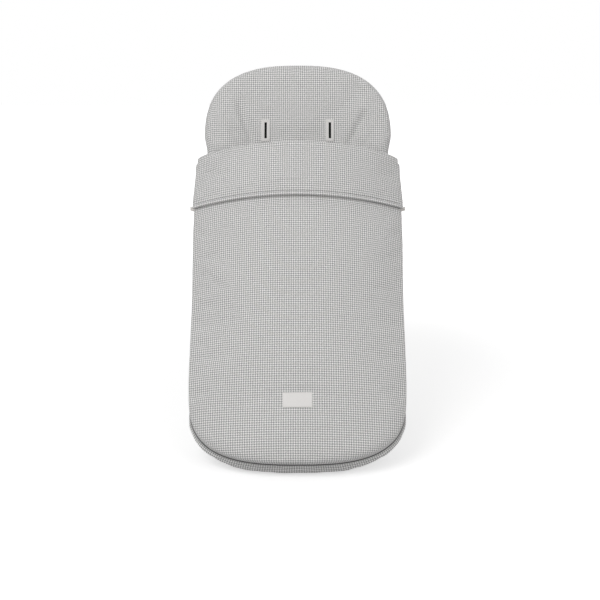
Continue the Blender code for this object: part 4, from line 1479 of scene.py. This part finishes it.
@dataclass
class FrontPanel(PaddedPiece):
    """The front of the sack: a padded dome with a fleece lining, and the bare label low on it."""

    roll: float = 0.022
    bulge: float = 0.0075
    top_bulge: float = 0.0125
    foot_tuck: float = 0.0015
    toe_hem: float = 0.0088
    toe_hem_end: float = 0.1495
    rim_under: float = 0.0112
    columns: int = 60
    rows: int = 96
    ring: int = 5
    label_size: Plan = (0.060, 0.031)
    label_place: float = 0.129
    label_thickness: float = 0.0008
    label_tilt_deg: float = 0.6
    label_seam: float = 0.0018
    creases: tuple[Crease, ...] = (
        Crease((-0.215, 0.430), (-0.150, 0.372), 0.0030, 0.010),
        Crease((-0.222, 0.357), (-0.135, 0.322), 0.0026, 0.009),
        Crease((0.222, 0.392), (0.170, 0.380), 0.0022, 0.012),
        Crease((0.200, 0.520), (0.120, 0.560), 0.0014, 0.014),
        Crease((-0.190, 0.560), (-0.090, 0.545), 0.0012, 0.014),
        Crease((-0.060, 0.175), (0.070, 0.178), 0.0010, 0.012),
    )
    waves: tuple[float, float, float] = (11.0, 4.3, 0.0012)

    def __post_init__(self) -> None:
        """Lay out the panel: a U foot and a straight top."""
        foot = RoundEnd(0.0, SIZES.foot_curve, SIZES.foot_power)
        self.plan = RingedPlan(
            Outline(lambda s: SIZES.front_half, 0.0, SIZES.front_length, foot),
            self.roll,
            SIZES.edge_drop,
            self.columns,
            self.rows,
            self.ring,
            bulge=self.bulge,
            top_bulge=self.top_bulge,
            tuck=self.foot_tuck,
            hem=self.toe_hem,
            hem_end=self.toe_hem_end,
        )

    def face(self, i: int, j: int) -> Vector:
        """Place on the check side."""
        spot = self.plan.spot(i, j)
        return front_point(spot.x, spot.s, dome_at(spot.x, spot.s) - spot.fall)

    def under(self, i: int, j: int) -> Vector:
        """Place on the fleece side."""
        spot = self.plan.spot(i, j, under=True)
        fall = SIZES.front_thick + (self.rim_under - SIZES.front_thick) * spot.share
        return front_point(spot.x, spot.s, dome_at(spot.x, spot.s) - fall - spot.fall)

    def cloth(self, i: int, j: int) -> Plan:
        """Place in the cloth before sewing."""
        spot = self.plan.spot(i, j)
        return dome_arc(spot.cloth_x, spot.cloth_s), spot.cloth_s

    def held(self, i: int, j: int) -> float:
        """1 where the edge's seam, the label or the cuff holds the panel."""
        spot = self.plan.spot(i, j)
        wide, high = self.label_size
        off = max(abs(spot.x) - wide / 2, abs(spot.s - self.label_place) - high / 2, 0.0)
        label = 1.0 - smooth((off - 0.003) / 0.012)
        top = smooth((spot.s - SIZES.cuff_low + 0.020) / 0.016)
        return max(super().held(i, j), label, top)

    def build_panel(self) -> bpy.types.Object:
        """The padded panel from the toe to the fold."""
        item = self.pad("front_panel", Puff(pressure=2.5, growth=0.012, cap=0.004))
        dress(item, CHECK, FLEECE)
        bend(item, Body.MAT, Body.APRON, SIZES.foot_bend)
        layers = ("shell", "wadding", "lining")
        nodes = [f"{part}_{layer}" for part in ("toe", "apron") for layer in layers]
        report(item, None, nodes)
        return item

    def build_label(self, panel: bpy.types.Object) -> None:
        """The bare label, folded at its edges and sewn down all round."""
        wide, high = self.label_size
        item = flat_piece("woven_label", 24, 12, lambda x, y: (x * wide, y * high, 0.0))
        map_cloth(item)
        finish_with(item, "SOLIDIFY", thickness=self.label_thickness, offset=1.0)
        finish_with(item, "BEVEL", width=0.0003, segments=2, limit_method="ANGLE")
        tilt = Matrix.Rotation(math.radians(self.label_tilt_deg), 4, "Z")
        for vertex in item.data.vertices:
            x, y, z = tilt @ vertex.co
            edge = max(abs(x) / (wide / 2), abs(y) / (high / 2))
            rise = 0.0004 + z * (1 + 0.35 * math.exp(-(((edge - 0.93) / 0.05) ** 2)))
            s = self.label_place + y
            vertex.co = front_point(x, s, dome_at(x, s) + rise)
        item.data.update()
        soften(item)
        dress(item, LABEL)
        report(item, Body.MAT, ("label",))
        a, b = wide / 2 - self.label_seam, high / 2 - self.label_seam
        corners = [(-a, -b), (a, -b), (a, b), (-a, b), (-a, -b)]
        line = []
        for (x0, y0), (x1, y1) in zip(corners, corners[1:]):
            for step in range(8):
                x, y, _ = tilt @ Vector((x0 + (x1 - x0) * step / 8, y0 + (y1 - y0) * step / 8, 0.0))
                s = self.label_place + y
                line.append((front_point(x, s, dome_at(x, s) + 0.0013), FRONT_OUT))
        line.append(line[0])
        sewn = Stitching(pitch=0.0024, length=0.0018, radius=0.0002).sew("label_stitches", line)
        report(sewn, Body.MAT)

    def build(self) -> None:
        """Build the front and its label."""
        self.build_label(self.build_panel())


@dataclass
class Cuff(PaddedPiece):
    """The turned-down cuff: over the padded fold and down the front to its hem."""

    roll: float = 0.022
    edge_drop: float = 0.0074
    tuck: float = 0.006
    flare: float = 0.0045
    bulge: float = 0.0105
    top_bulge: float = 0.006
    lip: float = 0.030
    crown: float = 0.0035
    hem: float = 0.0090
    groove: float = 0.0030
    groove_width: float = 0.0018
    pucker: float = 0.0005
    pucker_width: float = 0.006
    check_shift: float = 0.0012
    columns: int = 60
    rows: int = 96
    ring: int = 5
    creases: tuple[Crease, ...] = (
        Crease((-0.215, 0.085), (-0.150, 0.062), 0.0020, 0.010),
        Crease((0.215, 0.075), (0.160, 0.060), 0.0020, 0.010),
        Crease((-0.120, 0.120), (-0.030, 0.112), 0.0014, 0.010),
        Crease((0.040, 0.114), (0.150, 0.120), 0.0014, 0.010),
        Crease((0.196, 0.030), (0.172, 0.004), 0.0018, 0.008),
        Crease((-0.200, 0.034), (-0.180, 0.006), 0.0018, 0.008),
    )
    waves: tuple[float, float, float] = (16.0, 8.1, 0.0011)

    def __post_init__(self) -> None:
        """Work out the profile over the fold."""
        self.straight = SIZES.front_length - SIZES.cuff_low
        self.radius = (SIZES.cuff_out + SIZES.front_thick) / 2
        self.centre = (SIZES.cuff_out - SIZES.front_thick) / 2
        self.turn_end = self.straight + math.pi * self.radius
        self.length = self.turn_end + self.tuck
        self.thick = SIZES.cuff_out - SIZES.cuff_under
        self.plan = RingedPlan(
            Outline(self.width, 0.0, self.length, end_share=0.16),
            self.roll,
            self.edge_drop,
            self.columns,
            self.rows,
            self.ring,
            bulge=self.bulge,
            top_bulge=self.top_bulge,
            lip=self.lip,
        )

    def place(self, x: float, length: float, depth: float) -> Vector:
        """Place at a width, a length from the hem over the fold, and a depth below the face."""
        if length <= self.straight:
            s, n = SIZES.cuff_low + length, SIZES.cuff_out - depth
        elif length <= self.turn_end:
            angle = (length - self.straight) / self.radius
            radius = self.radius - depth
            s = SIZES.front_length + (radius + self.crown) * math.sin(angle)
            n = self.centre + radius * math.cos(angle)
        else:
            s = SIZES.front_length - (length - self.turn_end)
            n = self.centre - self.radius + depth
        return front_point(x, s, dome_at(x, min(s, SIZES.front_length)) + n)

    def width(self, length: float) -> float:
        """Half width, a little wider toward the hem."""
        return SIZES.front_half + self.flare * smooth(1 - length / 0.10)

    def face(self, i: int, j: int) -> Vector:
        """Place on the outer side."""
        spot = self.plan.spot(i, j)
        return self.place(spot.x, spot.s, spot.fall)

    def under(self, i: int, j: int) -> Vector:
        """Place on the inner side."""
        spot = self.plan.spot(i, j, under=True)
        return self.place(spot.x, spot.s, self.thick)

    def cloth(self, i: int, j: int) -> Plan:
        """Place in the cloth before sewing, level with the front's check."""
        spot = self.plan.spot(i, j)
        return dome_arc(spot.cloth_x, SIZES.front_length), spot.cloth_s + self.check_shift

    def held(self, i: int, j: int) -> float:
        """1 where the edge's seam or the hem holds the cuff."""
        hem = 1 - smooth((self.plan.spot(i, j).s - self.hem) / 0.010)
        return max(super().held(i, j), hem)

    def lift(self, i: int, j: int, free: float) -> float:
        """Creases and slow waves, and the puckered groove of the hem's seam."""
        spot = self.plan.spot(i, j)
        away = spot.s - self.hem
        seam = -self.groove * math.exp(-((away / self.groove_width) ** 2))
        pucker = self.pucker * math.sin(spot.x * 900) * math.exp(-((away / self.pucker_width) ** 2))
        return super().lift(i, j, free) + (seam + pucker) * (1 - spot.share)

    def build(self) -> None:
        """Build the cuff over the fold and sew its hem."""
        item = self.pad("cuff_panel", Puff(pressure=2.5, growth=0.014, cap=0.0035))
        dress(item, CHECK, CHECK)
        bend(item, Body.APRON, Body.CUFF, SIZES.fold_bend)
        nodes = ("cuff_shell", "cuff_wadding", "cuff_facing", "cuff_hem", "fold_roll")
        report(item, None, nodes)
        self.sew_hem(item)

    def sew_hem(self, panel: bpy.types.Object) -> None:
        """Stitches that lie in the sewn line of the hem, in a dark thread that paints the shade of
        its groove.
        """
        bpy.context.view_layer.update()
        line = []
        for step in range(121):
            x = (self.width(self.hem) - 0.005) * (step / 60 - 1)
            found, place, _, _ = panel.ray_cast(self.place(x, self.hem, -0.04), -FRONT_OUT)
            if found:
                line.append((place + FRONT_OUT * 0.00012, FRONT_OUT))
        sewn = Stitching(pitch=0.0036, length=0.0028, radius=0.0004).sew("hem_stitches", line)
        dress(sewn, HEM_SHADE_THREAD)
        report(sewn, Body.CUFF)


@dataclass
class Gusset(PaddedPiece):
    """The side wall from the zips and foot seam down to the mat, and that seam's piping."""

    thick: float = 0.0073
    strip: float = 0.007
    strip_share: float = 0.14
    pucker: float = 0.0011
    least: float = 0.008
    bulge: float = 0.004
    foot_bulge: float = 0.0095
    foot_rise: float = 0.042
    gap: float = 0.0004
    piping: float = 0.0012
    columns: int = 168
    rows: int = 12
    curve_share: float = 0.345

    def __post_init__(self) -> None:
        """Measure the rim for the cloth's map."""
        self.foot_reach = mat_station(SIZES.foot_curve)
        sides = [2 * i / self.columns - 1 for i in range(self.columns + 1)]
        points = [self.rim(t, 0.0) for t in sides]
        steps = [math.dist(a, b) for a, b in zip(points, points[1:])]
        self.girth = np.concatenate([[0.0], np.cumsum(steps)])
        self.depths = [math.dist(self.place(t, 0.0, 0.0), self.place(t, 1.0, 0.0)) for t in sides]

    def split(self, t: float) -> tuple[float, float, float]:
        """Signed share of the half width, share of the foot's curve, and place up the front."""
        sign, a = (1.0 if t >= 0 else -1.0), abs(t)
        if a < self.curve_share:
            angle = math.pi / 2 * a / self.curve_share
            across = math.sin(angle) ** (2 / SIZES.side_power)
            bow = max(math.cos(angle), 0.0) ** (2 / SIZES.foot_power)
            return sign * across, bow, SIZES.foot_curve
        share = (a - self.curve_share) / (1 - self.curve_share)
        straight = SIZES.front_length - SIZES.foot_curve
        return sign, 0.0, SIZES.foot_curve + straight * share

    def rim(self, t: float, inset: float) -> Plan:
        """Width and place of the rim, from -1 at the left fold to 1 at the right."""
        across, bow, s = self.split(t)
        return across * (SIZES.front_half - inset), s - (SIZES.foot_curve - inset) * bow

    def foot(self, t: float, grow: float) -> Plan:
        """Width and distance along the mat of the wall's lower edge."""
        across, bow, s = self.split(t)
        return across * (SIZES.mat_half + grow), mat_station(s) - (self.foot_reach + grow) * bow

    def place(self, t: float, q: float, inset: float) -> Vector:
        """Place on the wall at a station, a share of its depth and an inset from its outer side."""
        x_ref, s_ref = self.rim(t, 0.0)
        x, s = self.rim(t, inset)
        start = dome_at(x_ref, s_ref) - SIZES.gusset_drop
        first = self.strip_share
        if q <= first:
            return front_point(x, s, start - self.strip * q / first)
        share = (q - first) / (1 - first)
        upper = front_point(x, s, start - self.strip)
        x_low, distance = self.foot(t, self.gap + self.thick - inset)
        lower = mat_point(x_low, distance, PATH.thickness)
        depth = (upper - lower).dot(FRONT_OUT)
        if depth < self.least:
            lower -= FRONT_OUT * (self.least - depth)
        outward = Vector((x, 0.0, 0.0)) + FRONT_UP * min(s - SIZES.foot_curve, 0.0)
        near = smooth((self.curve_share + 0.06 - abs(t)) / 0.12)
        swell = self.bulge * min(max(depth, 0.0) / self.foot_rise, 1.0) * (1 - near)
        swell = (swell + self.foot_bulge * near) * math.sin(math.pi * share)
        return upper.lerp(lower, share) + outward.normalized() * swell

    def at(self, i: int, j: int, inset: float) -> Vector:
        """Place of a grid point at an inset."""
        return self.place(2 * i / self.columns - 1, j / self.rows, inset)

    def face(self, i: int, j: int) -> Vector:
        """Place on the check side."""
        return self.at(i, j, 0.0)

    def under(self, i: int, j: int) -> Vector:
        """Place on the fleece side."""
        return self.at(i, j, self.thick)

    def cloth(self, i: int, j: int) -> Plan:
        """Place in the cloth, level with the front's check."""
        return float(self.girth[i]), -self.depths[i] * j / self.rows

    def held(self, i: int, j: int) -> float:
        """1 at the seams along the wall and at its ends."""
        ends = max(abs(2 * i / self.columns - 1) - 0.96, 0.0) / 0.04
        return max(smooth(abs(2 * (j / self.rows) - 1) * 2.2 - 1.1), ends)

    def lift(self, i: int, j: int, free: float) -> float:
        """Small upright puckers, as a sewn wall has."""
        wave = noise.noise(Vector((self.girth[i] * 42, j / self.rows * 1.5, 2.0)))
        return wave * self.pucker * free

    def build_wall(self) -> None:
        """The padded wall with its fleece inside."""
        item = self.pad("gusset_wall", Puff(pressure=1.5, growth=0.02, cap=0.002))
        dress(item, CHECK, FLEECE)
        nodes = ("gusset_shell", "gusset_wadding", "gusset_lining")
        report(item, Body.MAT, nodes)

    def build_piping(self) -> None:
        """The corded piping in the foot seam, near-black to paint the seam's shadow line."""
        drop = SIZES.gusset_drop - self.piping - self.gap
        inset = self.piping - SIZES.clearance
        reach = self.curve_share * 1.015
        points = []
        for step in range(97):
            t = reach * (step / 48 - 1)
            x, s = self.rim(t, inset)
            points.append(front_point(x, s, dome_at(x, s) - drop))
        item = round_cord("foot_piping", points, self.piping, 3)
        map_cloth(item, 0, 2)
        dress(item, PIPING_SHADE)
        report(item, Body.MAT, ("seam_piping",))

    def build(self) -> None:
        """Build the wall and its piping."""
        self.build_wall()
        self.build_piping()


@dataclass
class Zip:
    """One side zip: tapes, coils, and the tape's turned end with its tab below the cuff."""

    side: Side
    tape_inset: float = 0.0019
    parting: float = 0.0016
    coil_width: float = 0.002
    low: float = 0.1545
    high: float = 0.6951
    apron_high: float = 0.6761
    mat_tuck: float = 0.006
    apron_tuck: float = 0.0018
    pitch: float = 0.0016
    wire: float = 0.00036
    coil_turn_points: int = 8
    tab_width: float = 0.009
    tab_reach: float = 0.0125
    tab_turn_deg: float = 62.0
    tail_width: float = 0.0030
    tail_reach: float = 0.0018

    @property
    def slope(self) -> float:
        """Fall of the dome's rim for each metre up the front."""
        return (SIZES.dome_fold - SIZES.dome_foot) / SIZES.front_length

    def frame(self, s: float) -> Matrix:
        """Frame on the zip: X outward, Y up along it, Z toward the apron's side."""
        x = self.side.value * (SIZES.front_half - self.tape_inset)
        drop = SIZES.edge_drop + SIZES.tape_shown
        centre = front_point(x, s, dome_at(SIZES.front_half, s) - drop)
        along = (FRONT_UP - FRONT_OUT * self.slope).normalized()
        toward = X_AXIS.cross(along)
        if toward.dot(FRONT_OUT) < 0:
            toward = -toward
        return axes_frame(centre, X_AXIS * self.side.value, along, toward)

    def length(self, low: float, high: float) -> float:
        """Length along the zip between two places up the front."""
        return (high - low) * math.hypot(1.0, self.slope)

    def strip(
        self, name: str, low: float, high: float, near: float, far: float
    ) -> bpy.types.Object:
        """Build a tape beside the parting line.

        Args:
            name: The tape's name.
            low: Where it starts up the front.
            high: Where it ends.
            near: Distance of its near edge from the parting line.
            far: Distance of its far edge.

        Returns:
            The tape in its place.
        """
        length = self.length(low, high)

        def move(x: float, y: float) -> Place:
            """Place on the tape."""
            return 0.0, (y + 0.5) * length, near + (far - near) * (x + 0.5)

        item = flat_piece(name, 6, 160, move)
        map_cloth(item, 2, 1)
        finish_with(item, "SOLIDIFY", thickness=SIZES.tape, offset=0.0)
        finish_with(item, "BEVEL", width=0.0002, segments=1, limit_method="ANGLE")
        placed(item, self.frame(low))
        item.data.shade_smooth()
        dress(item, TAPE)
        return item

    def coil(self, name: str, low: float, high: float, sign: int) -> bpy.types.Object:
        """A coil of teeth along one side of the parting line."""
        length = self.length(low, high)
        turns = int(length / self.pitch)
        per_turn = self.coil_turn_points
        across = self.coil_width / 2 - self.wire
        middle = sign * (self.parting / 2 + self.coil_width / 2)
        frame = self.frame(low)
        points = []
        for number in range(turns * per_turn + 1):
            angle = math.tau * number / per_turn * sign * self.side.value
            y = self.wire + (length - 2 * self.wire) * number / (turns * per_turn)
            x, z = across * math.cos(angle), middle + across * 1.15 * math.sin(angle)
            points.append(frame @ Vector((x, y, z)))
        item = round_cord(name, points, self.wire, 0)
        item.data.shade_smooth()
        dress(item, COIL)
        return item

    def build_tab(self) -> None:
        """The tape's end that turns with the cuff, with the tab below the cuff's corner."""
        low = SIZES.cuff_low - self.tail_reach
        length = self.length(low, SIZES.front_length - 0.001)
        start = SIZES.tape_shown - 0.0012

        def tab(x: float, y: float) -> Place:
            """Place on the tab, which turns outward as it leaves the cuff."""
            out = max(0.5 - y, 0.0)
            turn = math.radians(self.tab_turn_deg) * smooth(out / 0.6)
            across = x * self.tab_width
            level = 0.0015 - 0.001 * smooth(out / 0.4) + 0.004 * out
            place = start + self.tab_width / 2 + across * math.cos(turn)
            corner = 0.0016 * max(0.0, abs(x) * 2 - 0.6) ** 2 * (1.0 if y < -0.3 else 0.0)
            return self.tab_reach * out - corner, level + across * math.sin(turn), place

        def strip(x: float, y: float) -> Place:
            """Place on the tape that goes up inside the cuff."""
            return 0.0, -0.001 + (y + 0.5) * length, start + (x + 0.5) * self.tail_width

        item = flat_piece("cuff_tab_" + self.side.word, 8, 8, tab)
        map_cloth(item, 2, 1)
        finish_with(item, "SOLIDIFY", thickness=SIZES.tape * 1.6, offset=0.0)
        finish_with(item, "BEVEL", width=0.0003, segments=2, limit_method="ANGLE")
        tail = flat_piece("cuff_tail_" + self.side.word, 2, 40, strip)
        map_cloth(tail, 2, 1)
        finish_with(tail, "SOLIDIFY", thickness=SIZES.tape, offset=0.0)
        joined(item, tail)
        shift = self.tape_inset + 0.0024
        placed(item, self.frame(low) @ Matrix.Translation((shift, 0.0, 0.0)))
        soften(item)
        dress(item, TAPE)
        report(item, Body.CUFF, ("cuff_tape_" + self.side.word,))

    def build(self) -> None:
        """Build both halves of the zip."""
        word = self.side.word
        near = self.parting / 2 + self.coil_width + SIZES.clearance
        halves = (
            (Body.MAT, -1, self.high, self.mat_tuck),
            (Body.APRON, 1, self.apron_high, self.apron_tuck),
        )
        for body, sign, high, tuck in halves:
            half = body.value
            far = sign * (SIZES.tape_shown + tuck)
            tape = self.strip(f"zip_tape_{half}_{word}", self.low, high, sign * near, far)
            coil = self.coil(f"zip_teeth_{half}_{word}", self.low, high, sign)
            bends = body is Body.APRON
            for item, kind in ((tape, "tape"), (coil, "coil")):
                if bends:
                    bend(item, Body.MAT, Body.APRON, SIZES.foot_bend)
                report(item, None if bends else body, (f"{half}_{kind}_{word}",))
        self.build_tab()


@dataclass
class HeadPocket:
    """The pocket behind the head panel, open downward, gathered on a ribbed elastic."""

    depth: float = 0.125
    rise: float = 0.029
    roll: float = 0.045
    wall: float = 0.002
    margin: float = 0.003
    gap: float = 0.0004
    elastic_width: float = 0.012
    elastic: float = 0.001
    gather: float = 0.0013
    columns: int = 96
    rows: int = 34
    ring: int = 9

    def __post_init__(self) -> None:
        """Lay out the pocket along the mat's head."""
        inner = PATH.length - self.margin
        outline = Outline(
            lambda s: SIZES.head_half - self.margin,
            PATH.length - self.depth,
            inner,
            high_end=RoundEnd(inner, SIZES.head_arch, SIZES.head_power),
            end_share=0.0,
        )
        self.plan = RingedPlan(
            outline, self.roll, self.rise, self.columns, self.rows, self.ring, open_low=True
        )

    def at(self, i: float, j: float, depth: float) -> Vector:
        """Place of the pocket's wall at a depth below its outer side."""
        spot = self.plan.spot(i, j, rim=depth)
        mouth = spot.s - (PATH.length - self.depth)
        gather = self.gather * math.sin(spot.x * 420 + 1.5 * math.sin(spot.x * 61))
        gather *= math.exp(-mouth / 0.020) * (1 - spot.share)
        height = (self.rise - self.gap - depth) * math.cos(math.pi / 2 * spot.share)
        rise = self.gap + height + gather - self.gather * (1 - spot.share)
        return mat_point(spot.x, spot.s, PATH.thickness + rise)

    def cloth(self, i: int, j: int) -> Plan:
        """Place in the cloth before sewing."""
        spot = self.plan.spot(i, j)
        return spot.cloth_x, spot.cloth_s

    def build(self) -> None:
        """Build the pocket and its elastic."""
        sides = (partial(self.at, depth=depth) for depth in (0.0, self.wall))
        item = GridBody("head_pocket_cover", self.columns, self.rows, *sides, self.cloth).build()
        refine(item)
        dress(item, CHECK, CHECK)
        report(item, Body.MAT, ("head_pocket",))
        share = self.rows * (1 - self.ring / self.rows) / self.depth
        near = self.wall + SIZES.clearance

        def band(i: int, j: int, depth: float) -> Vector:
            """Place of a grid point of the elastic at a depth."""
            return self.at(i + 2, (0.0005 + self.elastic_width * j / 4) * share, depth)

        strip = GridBody(
            "mouth_elastic",
            self.columns - 4,
            4,
            partial(band, depth=near),
            partial(band, depth=near + self.elastic),
            lambda i, j: (self.elastic_width * j / 4, i * 0.0045),
        ).build()
        dress(strip, ELASTIC, ELASTIC)
        report(strip, Body.MAT, ("pocket_elastic",))


@dataclass(frozen=True)
class Lamp:
    """A soft square lamp that faces the object: its place, its size and its power in watts."""

    name: str
    place: Place
    size: float
    power: float

    def build(self) -> None:
        """Hang the lamp."""
        lamp = bpy.data.lights.new(self.name, "AREA")
        lamp.size = self.size
        lamp.energy = self.power
        item = linked(self.name, lamp)
        item.location = self.place
        toward = Vector((0.0, -0.1, 0.0)) - Vector(self.place)
        item.rotation_euler = toward.to_track_quat("-Z", "Y").to_euler()


@dataclass
class Studio:
    """The white floor, the soft lamps and the camera at the photograph's angle."""

    camera_place: Place = (0.005, -2.413, 0.498)
    elevation: float = 15.0
    lens: float = 66.0
    floor_gap: float = 0.002
    glow_span: Plan = (0.5, 1.9)
    glow: Plan = (0.56, 1.0)
    lamps: tuple[Lamp, ...] = (
        Lamp("key_lamp", (-1.1, -1.8, 1.8), 1.4, 30.0),
        Lamp("fill_lamp", (2.0, -2.2, 1.4), 2.2, 16.0),
        Lamp("rear_lamp", (0.2, 1.9, 2.6), 1.8, 9.0),
    )

    def build(self, low: float) -> None:
        """Build the studio under an object whose lowest point is given."""
        scene = bpy.context.scene
        scene.view_settings.view_transform = "Standard"
        camera = bpy.data.cameras.new("camera")
        camera.lens = self.lens
        camera.sensor_width = 36.0
        eye = linked("camera", camera)
        eye.location = self.camera_place
        eye.rotation_euler = (math.radians(90.0 - self.elevation), 0.0, 0.0)
        scene.camera = eye
        self.build_floor(low - self.floor_gap)
        self.build_world(scene)
        for lamp in self.lamps:
            lamp.build()

    def build_floor(self, height: float) -> None:
        """A wide white floor that keeps the object's shadow."""
        bpy.ops.mesh.primitive_grid_add(x_subdivisions=4, y_subdivisions=4, size=16.0)
        floor = named("floor")
        floor.location.z = height
        made, graph, shader = new_material("floor_white")
        shader.inputs["Base Color"].default_value = grey(0.62)
        shader.inputs["Roughness"].default_value = 0.9
        place = graph.add("ShaderNodeTexCoord").outputs["Object"]
        away = graph.add("ShaderNodeVectorMath", operation="LENGTH")
        graph.put(away.inputs[0], place)
        far = graph.add("ShaderNodeMapRange", interpolation_type="SMOOTHSTEP")
        graph.put(far.inputs["Value"], away.outputs["Value"])
        for way, span in (("From", self.glow_span), ("To", self.glow)):
            for limit, value in zip(("Min", "Max"), span):
                far.inputs[f"{way} {limit}"].default_value = value
        strength = graph.math("MULTIPLY", graph.seen(), far.outputs[0])
        graph.put(shader.inputs["Emission Strength"], strength)
        shader.inputs["Emission Color"].default_value = grey(1.0)
        floor.data.materials.append(made)
        floor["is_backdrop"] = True

    def build_world(self, scene: bpy.types.Scene) -> None:
        """A white surround for the camera and a plain soft light for the object."""
        world = bpy.data.worlds.new("surround")
        world.use_nodes = True
        scene.world = world
        graph = Graph(world.node_tree)
        back = world.node_tree.nodes["Background"]
        back.inputs["Color"].default_value = grey(1.0)
        graph.put(back.inputs["Strength"], graph.math("MULTIPLY_ADD", graph.seen(), 0.55, 0.45))


def dress_metal(nodes: dict[str, bpy.types.Object]) -> None:
    """Give the sliders, pullers and stops, whose solids stay, their nickel finish."""
    for name, item in nodes.items():
        if name.startswith(("slider_", "puller_", "zip_stop_")):
            item.data.materials.clear()
            item.data.materials.append(NICKEL.material())


def main() -> None:
    """Build the studio and every sub-assembly, in order."""
    logging.basicConfig(level=logging.INFO, format="%(name)s %(message)s")
    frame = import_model()
    cad_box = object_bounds()
    Studio().build(cad_box[0][2])
    Mat().build()
    FrontPanel().build()
    Cuff().build()
    Gusset().build()
    for side in Side:
        Zip(side).build()
    HeadPocket().build()
    dress_metal(frame["nodes"])


if __name__ == "__main__":
    main()
